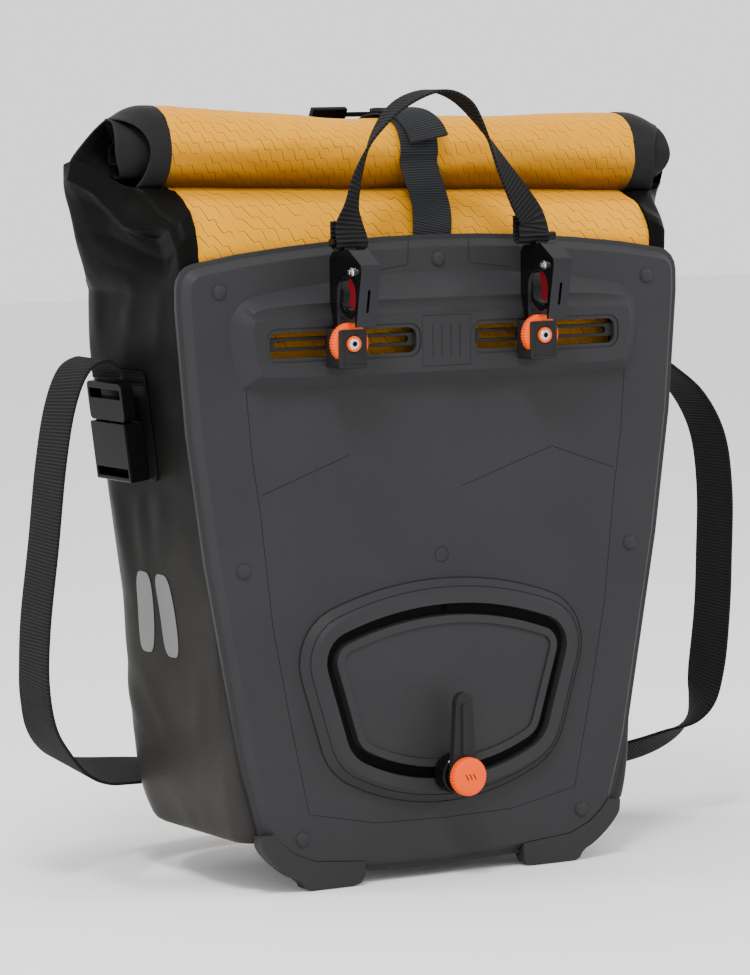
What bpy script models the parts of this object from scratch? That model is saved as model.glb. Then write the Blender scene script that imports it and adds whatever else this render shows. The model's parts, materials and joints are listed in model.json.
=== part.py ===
"""Roll-top bicycle pannier with a moulded back plate, two clamp hooks, a swivelling
lower hook, a carry handle and a clip-on shoulder strap.

Numbers are millimetres. X runs across the back plate, "depth" runs from the plate's
face into the bag, and Z is up from the floor. The finished meshes are in metres, with
Y = 0 in the middle of the bag's depth.
"""
import math

import bmesh
import bpy
from mathutils import Matrix, Vector

MM = 0.001

# Bag
BAG_DEPTH = 165.0
MID_DEPTH = BAG_DEPTH / 2
CLEAR = 0.3
FABRIC = 1.2
BAG_BOTTOM_Z = 30.0
NECK_Z = 394.6
BACK_SEAM = 14.0
# height, half width, depth of the back face, depth of the front face, front corner radius
BAG_LEVELS = [
    (30, 131, 9.2, 140, 36),
    (45, 134.5, 9.0, 153, 42),
    (60, 136, 8.8, 160, 46),
    (100, 138, 8.8, 165, 48),
    (155, 141, 8.8, 165, 48),
    (229, 151, 8.8, 165, 48),
    (302, 160, 8.8, 165, 48),
    (345, 164, 8.8, 158, 46),
    (372, 166, 9.4, 126, 34),
    (393, 166, 24, 92, 22),
    (394.6, 166, 38, 72, 10),
]
BASE_PATCH = (26.0, 78.0, 112.0)

# Roll at the top
ROLL_DEPTH, ROLL_Z, ROLL_R = 55.0, 420.0, 24.5
ROLL_HALF, ROLL_TIP = 155.8, 201.0
ROLL_SHEET, ROLL_PITCH, ROLL_TURNS = 2.4, 4.0, 2.25

# Back plate
FACE_T = 3.0
LIP_DEPTH = 8.0
TRAY_INSET = 7.0
PLATE_TOP, PLATE_ARCH = 373.0, 11.5
PLATE_SIDE = [(0, 5.5), (54, 6.8), (88, 9.8), (103.5, 16.3), (113.5, 24.5), (119.5, 32),
              (130, 70), (142, 135), (152, 192), (162, 265), (167.5, 335)]
BOX_RAISE = 8.0
BOX_BASE = [(0, 287), (60, 287.3), (122, 288.5), (130.5, 293), (136, 311), (137, 327),
            (132, 335), (122, 341), (89, 346), (45, 350.5), (0, 352)]
BOX_FACE = [(0, 295), (60, 295), (115, 296), (121.5, 300), (125, 312), (126, 323),
            (123, 329.5), (116, 333), (86, 336), (44, 337.5), (0, 338)]
SEAT_Z, SEAT_R, SEAT_DEPTH = 332.5, 6.2, 2.0
SLOT_IN, SLOT_OUT, SLOT_Z, SLOT_H, SLOT_R = 19.5, 115.5, 313.6, 14.4, 4.5
PAD_RAISE = 7.0
GROOVE_W, GROOVE_DEPTH = 7.0, 5.7
LOOP_ARC_Z, LOOP_ARC_R = 184.0, 126.0
LOOP_TOP_Z, LOOP_TOP_R = 160.0, 200.0
LOOP_SIDE_POINT, LOOP_SIDE_LEAN = (82.5, 133.0), 16.7
LOOP_FILLETS = (18.0, 22.0)
RIVETS = {"top_left": (-143, 344.7), "top_right": (143, 344.7), "top_middle": (0, 359),
          "middle_left": (-130, 186.5), "middle_right": (130, 186.5),
          "bottom_left": (-94.5, 30), "bottom_right": (94.5, 30)}
RIVET_R, RIVET_H = 4.5, 1.9

# Hooks: places are depth and height in the hook's side view
HOOK_X = {"left": -71.0, "right": 56.0}
HOOK_Z = 314.0
HOUSING_HALF, SLIT_HALF, LATCH_HALF = 8.5, 5.6, 5.2
PIVOT = (-35.8, 354.9)
JAW, JAW_R = (-28.0, 342.0), 10.6
LATCH_BAR = (-18.7, 371.0)
WHEEL_R, WHEEL_FRONT, WHEEL_BACK = 11.8, -22.5, -16.5
BLOCK_HALF, BLOCK_FRONT, BLOCK_BACK = 9.0, -25.0, -8.4
BLOCK_LOW, BLOCK_TOP = 300.0, 322.0
SCREW_R, SCREW_HOLE_R = 1.5, 1.9
RAIL_FRONT, RAIL_BACK = -4.7, -1.2

# Lower hook
SWAY_Z = LOOP_ARC_Z - LOOP_ARC_R + GROOVE_W / 2
STUD_R, STUD_HOLE_R = 2.2, 2.6
ARM_LENGTH = 48.5

# Webbing: width and thickness
HANDLE_WEB, CLOSURE_WEB, SHOULDER_WEB = (20.0, 1.6), (25.0, 1.4), (38.0, 2.0)
ACROSS, BACK_ACROSS, ALONG, UP = (1, 0, 0), (-1, 0, 0), (0, 1, 0), (0, 0, 1)
# x, depth, height, direction of the webbing's width
HANDLE_ROUTE = [
    (-69, -19, 380, ACROSS), (-67, -19.5, 394, ACROSS), (-61, -20, 413, (0.9, 0.35, 0.2)),
    (-51, -20, 433, (0.5, 0.85, 0.3)), (-35, -20, 448.5, ALONG), (-14, -20, 455.5, ALONG),
    (4, -20, 450, ALONG), (17, -20, 435, (-0.4, 0.9, 0.2)), (30, -20, 412, (-0.9, 0.4, -0.3)),
    (43, -19.5, 393, BACK_ACROSS), (51, -19, 380, BACK_ACROSS)]
SHOULDER_ROUTE = [
    (-168.3, 90, 293, ALONG), (-170, 90, 299, ALONG), (-179, 89, 304, ALONG),
    (-192, 87, 298, ALONG), (-202, 85, 278, ALONG), (-209, 84, 245, ALONG),
    (-214, 85, 200, ALONG), (-219, 87, 155, ALONG), (-220, 88, 122, ALONG),
    (-215, 93, 100, (-0.1, 0.95, 0.25)), (-203, 104, 82, (-0.35, 0.86, 0.37)),
    (-186, 121, 68, (-0.45, 0.8, 0.38)), (-164, 143, 58, (-0.5, 0.77, 0.37)),
    (-137, 166, 52, (-0.4, 0.85, 0.33)), (-98, 180, 48, (-0.25, 0.93, 0.25)),
    (-50, 188, 44, (-0.1, 0.98, 0.12)), (0, 190, 41, ALONG), (50, 189, 38, (0.1, 0.98, -0.15)),
    (95, 182, 35, (0.3, 0.9, -0.3)), (135, 168, 33, (0.45, 0.8, -0.38)),
    (172, 147, 34, (0.5, 0.76, -0.4)), (205, 123, 39, (0.55, 0.72, -0.42)),
    (229, 104, 52, (0.45, 0.8, -0.35)), (241, 93, 70, (0.15, 0.97, -0.15)),
    (245, 89, 95, ALONG), (248, 87, 130, ALONG), (249, 86, 165, ALONG),
    (249, 85, 205, ALONG), (244, 85, 240, ALONG), (230, 86, 266, ALONG), (210, 87, 283, ALONG),
    (189, 89, 296, ALONG), (176, 90, 301, ALONG), (170, 90, 298, ALONG), (168.3, 90, 293, ALONG)]
BUCKLE_DEPTH, BUCKLE_Z = 90.0, 265.0

# colour, roughness, metallic
FINISHES = {
    "plate_plastic": ((0.060, 0.060, 0.063), 0.62, 0.0),
    "guard_rubber": ((0.045, 0.045, 0.047), 0.75, 0.0),
    "yellow_fabric": ((0.62, 0.36, 0.06), 0.55, 0.0),
    "black_fabric": ((0.032, 0.031, 0.030), 0.6, 0.0),
    "webbing": ((0.018, 0.018, 0.018), 0.85, 0.0),
    "hook_plastic": ((0.05, 0.05, 0.052), 0.5, 0.0),
    "latch_plastic": ((0.012, 0.012, 0.013), 0.18, 0.0),
    "orange_plastic": ((0.85, 0.24, 0.06), 0.4, 0.0),
    "red_plastic": ((0.22, 0.015, 0.02), 0.4, 0.0),
    "steel": ((0.6, 0.6, 0.6), 0.25, 1.0),
    "stiffener": ((0.5, 0.5, 0.48), 0.6, 0.0),
}


# ---------------------------------------------------------------- scene and helpers
def clear_scene():
    for obj in list(bpy.data.objects):
        bpy.data.objects.remove(obj, do_unlink=True)
    collections = []
    for name in ("pannier_bag", "cutters"):
        collection = bpy.data.collections.new(name)
        bpy.context.scene.collection.children.link(collection)
        collections.append(collection)
    return collections


def place(x, depth, z):
    """A point in metres, from its millimetres across, into the bag and up."""
    return Vector((x, depth - MID_DEPTH, z)) * MM


def finish_material(name, finish):
    colour, roughness, metallic = FINISHES[finish]
    material = bpy.data.materials.new(name)
    material.use_nodes = True
    shader = material.node_tree.nodes["Principled BSDF"]
    shader.inputs["Base Color"].default_value = (*colour, 1)
    shader.inputs["Roughness"].default_value = roughness
    shader.inputs["Metallic"].default_value = metallic
    return material


def add_object(name, mesh, finish=None, origin=None):
    """Link a mesh made in world metres, with its origin moved to a point if one is given."""
    obj = bpy.data.objects.new(name, mesh)
    if origin is not None:
        mesh.transform(Matrix.Translation(-origin))
        obj.location = origin
    if finish is None:
        CUTTERS.objects.link(obj)
        obj.hide_render = True
        obj.display_type = "WIRE"
    else:
        PARTS.objects.link(obj)
        mesh.materials.clear()
        mesh.materials.append(finish_material(name, finish))
    return obj


def mesh_from(name, bm):
    bmesh.ops.recalc_face_normals(bm, faces=bm.faces)
    mesh = bpy.data.meshes.new(name)
    bm.to_mesh(mesh)
    bm.free()
    return mesh


def plates(name, outlines, axis, low, high):
    """A mesh of a flat outline, with any holes, extruded along X or along the depth."""
    curve = bpy.data.curves.new(name, "CURVE")
    curve.dimensions = "2D"
    curve.fill_mode = "BOTH"
    curve.extrude = (high - low) / 2 * MM
    for outline in outlines:
        spline = curve.splines.new("POLY")
        spline.points.add(len(outline) - 1)
        spline.use_cyclic_u = True
        for point, (u, v) in zip(spline.points, outline):
            point.co = (u * MM, v * MM, 0, 1)
    holder = bpy.data.objects.new(name, curve)
    CUTTERS.objects.link(holder)
    bpy.context.view_layer.update()
    graph = bpy.context.evaluated_depsgraph_get()
    mesh = bpy.data.meshes.new_from_object(holder.evaluated_get(graph))
    bpy.data.objects.remove(holder)
    middle = (low + high) / 2
    if axis == "X":
        turn = Matrix(((0, 0, 1), (1, 0, 0), (0, 1, 0)))
    else:
        turn = Matrix(((1, 0, 0), (0, 0, -1), (0, 1, 0)))
    shift = place(middle, 0, 0) if axis == "X" else place(0, middle, 0)
    mesh.transform(Matrix.Translation(shift) @ turn.to_4x4())
    bm = bmesh.new()
    bm.from_mesh(mesh)
    bpy.data.meshes.remove(mesh)
    bmesh.ops.remove_doubles(bm, verts=bm.verts, dist=0.00001)
    return mesh_from(name, bm)


def loft(name, rings):
    """A closed mesh through rings of equal length, each a list of points in metres."""
    bm = bmesh.new()
    rows = [[bm.verts.new(point) for point in ring] for ring in rings]
    count = len(rows[0])
    for lower, upper in zip(rows, rows[1:]):
        for i in range(count):
            j = (i + 1) % count
            bm.faces.new((lower[i], lower[j], upper[j], upper[i]))
    bm.faces.new(rows[0])
    bm.faces.new(rows[-1])
    return mesh_from(name, bm)


def cylinder(name, radius, start, end, segments=24):
    """A round bar between two points in metres."""
    bm = bmesh.new()
    run = end - start
    bmesh.ops.create_cone(bm, cap_ends=True, segments=segments, radius1=radius * MM,
                          radius2=radius * MM, depth=run.length)
    turn = Vector(UP).rotation_difference(run).to_matrix().to_4x4()
    bmesh.ops.transform(bm, verts=bm.verts, matrix=Matrix.Translation((start + end) / 2) @ turn)
    return mesh_from(name, bm)


def box(name, x, depth, z):
    """A box from its low and high millimetres on each axis."""
    bm = bmesh.new()
    bmesh.ops.create_cube(bm, size=1)
    low, high = place(x[0], depth[0], z[0]), place(x[1], depth[1], z[1])
    size = high - low
    bmesh.ops.scale(bm, verts=bm.verts, vec=size)
    bmesh.ops.translate(bm, verts=bm.verts, vec=(low + high) / 2)
    return mesh_from(name, bm)


def turned(name, finish, profile, centre, steps):
    """A piece turned about the depth axis: profile is radius and depth, front first."""
    mesh = bpy.data.meshes.new(name)
    points = [(radius * MM, 0, -depth * MM) for radius, depth in profile]
    edges = [(i, i + 1) for i in range(len(points) - 1)]
    if profile[0][0] > 0:
        edges.append((len(points) - 1, 0))
    mesh.from_pydata(points, edges, [])
    obj = add_object(name, mesh, finish)
    obj.location = place(centre[0], 0, centre[1])
    obj.rotation_euler = (math.radians(90), 0, 0)
    screw = obj.modifiers.new("turn", "SCREW")
    screw.axis = "Z"
    screw.steps = screw.render_steps = steps
    screw.use_merge_vertices = True
    screw.merge_threshold = 0.00001
    screw.use_smooth_shade = True
    return obj


def boolean(obj, operation, mesh):
    tool = add_object(f"{obj.name}_{operation.lower()}_{len(obj.modifiers)}", mesh)
    change = obj.modifiers.new(operation.lower(), "BOOLEAN")
    change.operation = operation
    change.object = tool
    change.solver = "EXACT"


def bevel(obj, width, segments=1):
    edge = obj.modifiers.new("edges", "BEVEL")
    edge.width = width * MM
    edge.segments = segments
    edge.limit_method = "ANGLE"
    edge.angle_limit = math.radians(50)


def arc(centre, radius, start, end, count):
    points = []
    for i in range(count + 1):
        angle = math.radians(start + (end - start) * i / count)
        points.append((centre[0] + radius * math.cos(angle), centre[1] + radius * math.sin(angle)))
    return points


def circle(centre, radius, count=20):
    return arc(centre, radius, 0, 360, count)[:-1]


def rounded(low, high, radius, count=3):
    """A rectangle with rounded corners, as an outline."""
    (x0, z0), (x1, z1) = low, high
    corners = [((x1 - radius, z0 + radius), -90), ((x1 - radius, z1 - radius), 0),
               ((x0 + radius, z1 - radius), 90), ((x0 + radius, z0 + radius), 180)]
    outline = []
    for centre, angle in corners:
        outline += arc(centre, radius, angle, angle + 90, count)
    return outline


def mirrored(half):
    """A closed outline from its right half, which starts and ends on the centre line."""
    return half + [(-x, z) for x, z in reversed(half[1:-1])]


def smoothed(points, steps, closed=True):
    """Points along a Catmull-Rom curve through the given ones."""
    points = [Vector(p) for p in points]
    count = len(points)
    result = []
    for i in range(count if closed else count - 1):
        if closed:
            a, b, c, d = (points[(i + k) % count] for k in (-1, 0, 1, 2))
        else:
            a, b, c, d = (points[min(max(i + k, 0), count - 1)] for k in (-1, 0, 1, 2))
        for k in range(steps):
            t = k / steps
            result.append(0.5 * (2 * b + (c - a) * t + (2 * a - 5 * b + 4 * c - d) * t ** 2
                                 + (3 * b - a - 3 * c + d) * t ** 3))
    if not closed:
        result.append(points[-1])
    return result


def offset(outline, distance):
    """An anticlockwise outline moved outwards by a distance."""
    result = []
    for i, point in enumerate(outline):
        before = (Vector(point) - Vector(outline[i - 1])).normalized()
        after = (Vector(outline[(i + 1) % len(outline)]) - Vector(point)).normalized()
        normal = Vector((before.y + after.y, -before.x - after.x)).normalized()
        square = Vector((after.y, -after.x))
        result.append(tuple(Vector(point) + normal * distance / max(normal.dot(square), 0.5)))
    return result


def on_plane(outline, depth):
    return [place(x, depth, z) for x, z in outline]


def web(name, finish, route, size, steps, origin=None):
    """Flat webbing swept along a smooth route, with its width turning from point to point."""
    centre = smoothed([p[:3] for p in route], steps, closed=False)
    width = smoothed([p[3] for p in route], steps, closed=False)
    half, thick = size[0] / 2, size[1] / 2
    rings = []
    for i, point in enumerate(centre):
        run = (centre[min(i + 1, len(centre) - 1)] - centre[max(i - 1, 0)]).normalized()
        side = (width[i] - run * width[i].dot(run)).normalized()
        normal = run.cross(side)
        rings.append([place(*(point + side * half * a + normal * thick * b))
                      for a, b in ((1, 1), (-1, 1), (-1, -1), (1, -1))])
    return add_object(name, loft(name, rings), finish, origin)


# ---------------------------------------------------------------- back plate
def plate_outline():
    corner = arc((153.5, 347), 14, 0, 80, 4)
    top = [(x, PLATE_TOP - PLATE_ARCH * (x / 156) ** 2) for x in (128, 96, 64, 32, 0)]
    return mirrored(PLATE_SIDE + corner + top)


def loop_outline(grow):
    """The lower hook's loop: two arcs and two leaning sides with rounded corners."""
    lean = math.radians(LOOP_SIDE_LEAN)
    normal = Vector((math.cos(lean), -math.sin(lean)))
    reach = normal.dot(Vector(LOOP_SIDE_POINT)) + grow
    half = []
    arcs = [((0, LOOP_ARC_Z), LOOP_ARC_R + grow, LOOP_FILLETS[1] + grow, -90),
            ((0, LOOP_TOP_Z - LOOP_TOP_R), LOOP_TOP_R + grow, LOOP_FILLETS[0] + grow, 90)]
    for centre, radius, fillet, middle in arcs:
        # the fillet's centre is at a fixed distance from the side and from the arc's centre
        centre = Vector(centre)
        foot = centre + normal * (reach - fillet - normal.dot(centre))
        along = Vector((-normal.y, normal.x)) * (1 if middle > 0 else -1)
        run = math.sqrt((radius - fillet) ** 2 - (foot - centre).length ** 2)
        hub = foot + along * run
        to_hub = math.degrees(math.atan2(hub.y - centre.y, hub.x - centre.x))
        side = math.degrees(math.atan2(normal.y, normal.x))
        if middle < 0:
            half += arc(centre, radius, middle, to_hub, 8)
            half += arc(hub, fillet, to_hub, side, 6)[1:]
        else:
            half += arc(hub, fillet, side, to_hub, 6)
            half += arc(centre, radius, to_hub, middle, 8)[1:]
    return mirrored(half)


def raised_box():
    base = smoothed(mirrored(BOX_BASE), 2)
    face = smoothed(mirrored(BOX_FACE), 2)
    return loft("raised_box", [on_plane(face, -BOX_RAISE), on_plane(base, 0), on_plane(base, 1.5)])


def loop_pad():
    rings = [on_plane(loop_outline(7), -PAD_RAISE), on_plane(loop_outline(14), -0.4),
             on_plane(loop_outline(14), 1.5)]
    return loft("loop_pad", rings)


def back_plate():
    outline = plate_outline()
    rings = [(-TRAY_INSET, 0), (-TRAY_INSET + 0.8, 0.5), (-2.6, LIP_DEPTH - 3), (0, LIP_DEPTH - 2.7),
             (0, LIP_DEPTH), (-4.5, LIP_DEPTH), (-TRAY_INSET - 2, FACE_T)]
    mesh = loft("back_plate", [on_plane(offset(outline, grow), depth) for grow, depth in rings])
    plate = add_object("back_plate", mesh, "plate_plastic")
    boolean(plate, "UNION", raised_box())
    boolean(plate, "UNION", loop_pad())
    seat_depth = -BOX_RAISE - SEAT_R + SEAT_DEPTH
    boolean(plate, "DIFFERENCE", cylinder("rack_seat", SEAT_R, place(-145, seat_depth, SEAT_Z),
                                          place(145, seat_depth, SEAT_Z), 32))
    pocket = rounded((-118, 299), (118, 327.5), 5)
    boolean(plate, "DIFFERENCE", plates("pocket", [pocket], "Y", -BOX_RAISE + FACE_T, 6))
    for side in (-1, 1):
        low_x, high_x = sorted((side * SLOT_IN, side * SLOT_OUT))
        window = rounded((low_x, SLOT_Z - SLOT_H / 2), (high_x, SLOT_Z + SLOT_H / 2), SLOT_R)
        boolean(plate, "DIFFERENCE", plates("window", [window], "Y", -BOX_RAISE - 2, 0))
        boolean(plate, "DIFFERENCE", plates("border", [offset(window, 2.6)], "Y",
                                            -BOX_RAISE - 2, -BOX_RAISE + 0.8))
    groove = [loop_outline(0), loop_outline(-GROOVE_W)]
    boolean(plate, "DIFFERENCE", plates("groove", groove, "Y", -PAD_RAISE - 2,
                                        -PAD_RAISE + GROOVE_DEPTH))
    boolean(plate, "DIFFERENCE", plates("island_recess", [loop_outline(-GROOVE_W - 4.5)], "Y",
                                        -PAD_RAISE - 2, -PAD_RAISE + 1.2))


def corner_guards():
    """Strips round the plate's lower corners, each with a foot."""
    outline = plate_outline()
    inner = offset(outline, -TRAY_INSET - 1)[1:6]
    outer = smoothed([(121.6, 33.8, 0), (121.3, 28, 0), (119.3, 24, 0), (114.3, 18.3, 0),
                      (108, 12.8, 0), (101.5, 8.4, 0), (97, 6.2, 0), (94.3, 3.8, 0)], 2, closed=False)
    outer = [(point.x, point.y) for point in outer] + [(92.8, 1.2), (90, 0), (62, 0), (56.5, 1.2), (54, 4.4)]
    wall = [(-TRAY_INSET, -3), (-TRAY_INSET, -0.4), (-TRAY_INSET + 0.8, 0.1), (-2.6, LIP_DEPTH - 3.4),
            (0, LIP_DEPTH - 3.1), (0, LIP_DEPTH + 3)]
    for side, sign in (("left", -1), ("right", 1)):
        strip = [(sign * x, z) for x, z in inner + [(115, 34.2)] + outer]
        mesh = plates(f"corner_guard_{side}", [strip], "Y", -0.6, 9)
        guard = add_object(f"corner_guard_{side}", mesh, "guard_rubber")
        room = loft("plate_room", [on_plane(offset(outline, grow + CLEAR), depth) for grow, depth in wall])
        boolean(guard, "DIFFERENCE", room)
        bevel(guard, 0.5)


def rivets():
    profile = [(0, -RIVET_H - CLEAR), (2.2, -RIVET_H - CLEAR + 0.25), (3.7, -RIVET_H / 2 - CLEAR),
               (RIVET_R, -CLEAR), (0, -CLEAR)]
    for place_name, spot in RIVETS.items():
        turned(f"rivet_{place_name}", "plate_plastic", profile, spot, 14)


def rails():
    for side, sign in (("left", -1), ("right", 1)):
        low_x, high_x = sorted((sign * 14, sign * 117))
        bar = rounded((low_x, HOOK_Z - 3.8), (high_x, HOOK_Z + 3.8), 2)
        low_x, high_x = sorted((sign * 23.5, sign * 111))
        slot = rounded((low_x, HOOK_Z - 1.9), (high_x, HOOK_Z + 1.9), 1.85, 4)
        mesh = plates(f"hook_rail_{side}", [bar, slot], "Y", RAIL_FRONT, RAIL_BACK)
        add_object(f"hook_rail_{side}", mesh, "hook_plastic")


# ---------------------------------------------------------------- fabric bag
def bag_level(z):
    """Half width, back depth, front depth and corner radius at a height."""
    for low, high in zip(BAG_LEVELS, BAG_LEVELS[1:]):
        if z <= high[0]:
            share = (z - low[0]) / (high[0] - low[0])
            return [a + (b - a) * share for a, b in zip(low[1:], high[1:])]
    return list(BAG_LEVELS[-1][1:])


def back_seam(z):
    """How far the back's coloured cloth ends from the bag's side: wider near the bottom."""
    return BACK_SEAM + 12 * max(0, (60 - z) / 30)


def side_section(z):
    """The right side's section: back strip, back corner, side and front corner."""
    half, back, front, radius = bag_level(z)
    points = [(half - back_seam(z), back), (half - 8, back)]
    points += arc((half - 6, back + 6), 6, -90, 0, 2)
    straight = (back + 6, front - radius)
    points += [(half, straight[0] + (straight[1] - straight[0]) * k / 3) for k in (1, 2, 3)]
    points += arc((half - radius, front - radius), radius, 0, 90, 5)[1:]
    return points


def sheet(name, finish, rows, bowl=False):
    """A thin panel from rows of points on its outer surface; a bowl's rows are rings."""
    bm = bmesh.new()
    grid = [[bm.verts.new(place(*point)) for point in row] for row in rows]
    count = len(grid[0])
    for lower, upper in zip(grid, grid[1:]):
        for i in range(count if bowl else count - 1):
            j = (i + 1) % count
            bm.faces.new((lower[i], lower[j], upper[j], upper[i]))
    if bowl:
        bm.faces.new(grid[0][::-1])
    mesh = bpy.data.meshes.new(name)
    bm.to_mesh(mesh)
    bm.free()
    panel = add_object(name, mesh, finish)
    wall = panel.modifiers.new("fabric", "SOLIDIFY")
    wall.thickness = FABRIC * MM
    wall.offset = -1
    wall.use_even_offset = bowl


def bag_panels():
    levels = [30.2, 45, 60, 100, 128, 155, 192, 229, 265, 302, 325, 345, 358, 372, 393, NECK_Z]
    for side, sign in (("left", -1), ("right", 1)):
        rows = [[(sign * x, depth, z) for x, depth in side_section(z)] for z in levels]
        if sign < 0:
            rows = [row[::-1] for row in rows]
        sheet(f"side_panel_{side}", "black_fabric", rows)
    back_rows, front_rows = [], []
    for z in levels:
        half, back, front, radius = bag_level(z)
        reach = half - back_seam(z) - CLEAR
        back_rows.append([(x * reach, back, z) for x in (-1, -0.5, 0, 0.5, 1)])
        reach = half - radius - CLEAR
        front_rows.append([(-x * reach, front, z) for x in (-1, -0.5, 0, 0.5, 1)])
    sheet("back_panel", "yellow_fabric", back_rows)
    sheet("front_panel", "yellow_fabric", front_rows)


def base_panel():
    """The bag's bottom, a shallow bowl with a flat patch to stand on."""
    half, back, front, radius = bag_level(BAG_BOTTOM_Z)
    patch_half, patch_back, patch_front = BASE_PATCH
    rings = []
    for share, z in ((1, 0), (0.93, 1.5), (0.77, 14), (0.5, 20.5), (0.2, 26), (0, 29.0)):
        low = (-half + (half - patch_half) * share, back + (patch_back - back) * share)
        high = (-low[0], front + (patch_front - front) * share)
        outline = rounded(low, high, radius + (12 - radius) * share, 4)
        rings.append([(x, depth, z) for x, depth in outline])
    sheet("base_panel", "black_fabric", rings, bowl=True)


# ---------------------------------------------------------------- roll and closure
def roll():
    """The mouth of the bag rolled up round a stiffener strip."""
    count = int(20 * ROLL_TURNS)
    outer, inner = [], []
    for i in range(count + 1):
        turn = ROLL_TURNS * i / count
        radius = ROLL_R - ROLL_PITCH * turn
        angle = math.radians(-80) + turn * math.tau
        direction = Vector((math.cos(angle), math.sin(angle)))
        outer.append(tuple(Vector((ROLL_DEPTH, ROLL_Z)) + direction * radius))
        inner.append(tuple(Vector((ROLL_DEPTH, ROLL_Z)) + direction * (radius - ROLL_SHEET)))
    spiral = outer + inner[::-1]
    mesh = plates("roll_top", [spiral], "X", -ROLL_HALF, ROLL_HALF)
    add_object("roll_top", mesh, "yellow_fabric")
    strip = box("roll_stiffener", (-150, 150), (ROLL_DEPTH - 1.2, ROLL_DEPTH + 1.2),
                (ROLL_Z - 10, ROLL_Z + 10))
    bevel(add_object("roll_stiffener", strip, "stiffener"), 0.5)


def roll_ends():
    """The rolled black gussets past the ends of the coloured roll."""
    sections = [(ROLL_HALF + CLEAR, 55, 420, 23.8, 23.8), (172, 56, 421, 24.5, 24.3),
                (187, 60, 416, 20, 26), (196, 64, 410, 12, 22), (ROLL_TIP, 67, 407, 5, 14)]
    for side, sign in (("left", -1), ("right", 1)):
        rings = []
        for x, depth, z, wide, high in sections:
            ring = [(depth + wide * math.cos(a), z + high * math.sin(a))
                    for a in (math.tau * k / 16 for k in range(16))]
            rings.append([place(sign * x, *point) for point in ring])
        add_object(f"roll_end_{side}", loft(f"roll_end_{side}", rings), "black_fabric")


def closure_strap():
    lift = CLOSURE_WEB[1] / 2 + 0.4
    over = arc((ROLL_DEPTH, ROLL_Z), ROLL_R + lift, 196, -38, 16)
    path = [(7.4, 374.6), (10.5, 379.5), (16.2, 385.5), (22.4, 394.2)] + over
    path += [(82.5, 398.9), (94.5, 394.6), (111, 385.2), (128.6, 373.8), (144, 360.5), (158.8, 347.5),
             (164.6, 334), (166.4, 318), (166.7, 300)]
    rings = []
    half, thick = CLOSURE_WEB[0] / 2, CLOSURE_WEB[1] / 2
    for i, point in enumerate(path):
        run = (Vector(path[min(i + 1, len(path) - 1)]) - Vector(path[max(i - 1, 0)])).normalized()
        normal = Vector((-run.y, run.x)) * thick
        near, far = Vector(point) + normal, Vector(point) - normal
        rings.append([place(-half, *near), place(half, *near), place(half, *far), place(-half, *far)])
    add_object("closure_strap", loft("closure_strap", rings), "webbing")


# ---------------------------------------------------------------- buckles
def local_frame(origin, across, upward, outward):
    """A matrix whose columns are a buckle's own width, height and thickness directions."""
    columns = [Vector(across), Vector(upward), Vector(outward)]
    turn = Matrix([[column[i] for column in columns] for i in range(3)]).to_4x4()
    return Matrix.Translation(origin) @ turn


def flat_shape(name, outlines, low, high, frame):
    """An outline in a buckle's width and height, as thick as low to high on its face."""
    mesh = plates(name, outlines, "Y", -high, -low)
    mesh.transform(Matrix.Translation((0, MID_DEPTH * MM, 0)))
    mesh.transform(Matrix(((1, 0, 0, 0), (0, 0, 1, 0), (0, -1, 0, 0), (0, 0, 0, 1))))
    mesh.transform(frame)
    return mesh


def buckle(prefix, scale, frame):
    """A side-release buckle: a socket, and a clip with two prongs and a guide."""
    def rect(x, low, high):
        return [(-x * scale, low * scale), (x * scale, low * scale),
                (x * scale, high * scale), (-x * scale, high * scale)]

    def shape(name, outlines, low, high):
        return flat_shape(name, outlines, low * scale, high * scale, frame)

    origin = frame.translation
    shell = shape("socket", [rect(22, -30, 4)], 2.2, 14)
    socket = add_object(f"{prefix}_socket", shell, "latch_plastic", origin)
    cavity = shape("cavity", [rect(20, -18, 6)], 4, 12.2)
    boolean(socket, "DIFFERENCE", cavity)
    slot = shape("slot", [rect(19, -27.5, -22.5)], 0, 16)
    boolean(socket, "DIFFERENCE", slot)

    top = rounded((-22 * scale, 5 * scale), (22 * scale, 27.5 * scale), 3 * scale)
    body = shape("clip", [top, rect(19, 18, 23.5)[::-1]], 5.6, 13.2)
    clip = add_object(f"{prefix}_clip", body, "latch_plastic", origin)
    for x0, x1 in ((-18.5, -13), (-3, 3), (13, 18.5)):
        prong = [(x0 * scale, -15 * scale), (x1 * scale, -15 * scale),
                 (x1 * scale, 9 * scale), (x0 * scale, 9 * scale)]
        boolean(clip, "UNION", shape("prong", [prong], 8.2, 11.6))


# ---------------------------------------------------------------- hooks
def hook_housing(side):
    """Front shell, two cheeks and back column round the rack tube's jaw."""
    x = HOOK_X[side]
    mouth = arc(JAW, JAW_R, 0, 180, 10)
    back = [(-17.4, 322.3), (-12.4, 322.3), (-12.4, 328), (-9.3, 338), (-9.3, 362), (-13, 366)]
    front = [(-31, 367.3), (-44.8, 359), (-45.4, 355), (-38.9, 324), (-37.3, 324)]
    outline = mouth[::-1] + back + front
    mesh = plates("hook_housing", [outline, circle(PIVOT, 1.8, 12)], "X",
                  x - HOUSING_HALF, x + HOUSING_HALF)
    housing = add_object(f"hook_housing_{side}", mesh, "hook_plastic", place(x, *PIVOT))
    slit = [(-36, 327.4), (-40.6, 352), (-40.3, 357.3), (-31.5, 362.6),
            (-31.5, 372), (-5, 372), (-5, 327.4)]
    boolean(housing, "DIFFERENCE", plates("slit", [slit], "X", x - SLIT_HALF, x + SLIT_HALF))
    boolean(housing, "DIFFERENCE", wheel_room(x))
    window = rounded((x - 1.1, 332), (x + 1.1, 345), 0.6, 1)
    boolean(housing, "DIFFERENCE", plates("window", [window], "Y", -50, -37))


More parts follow.
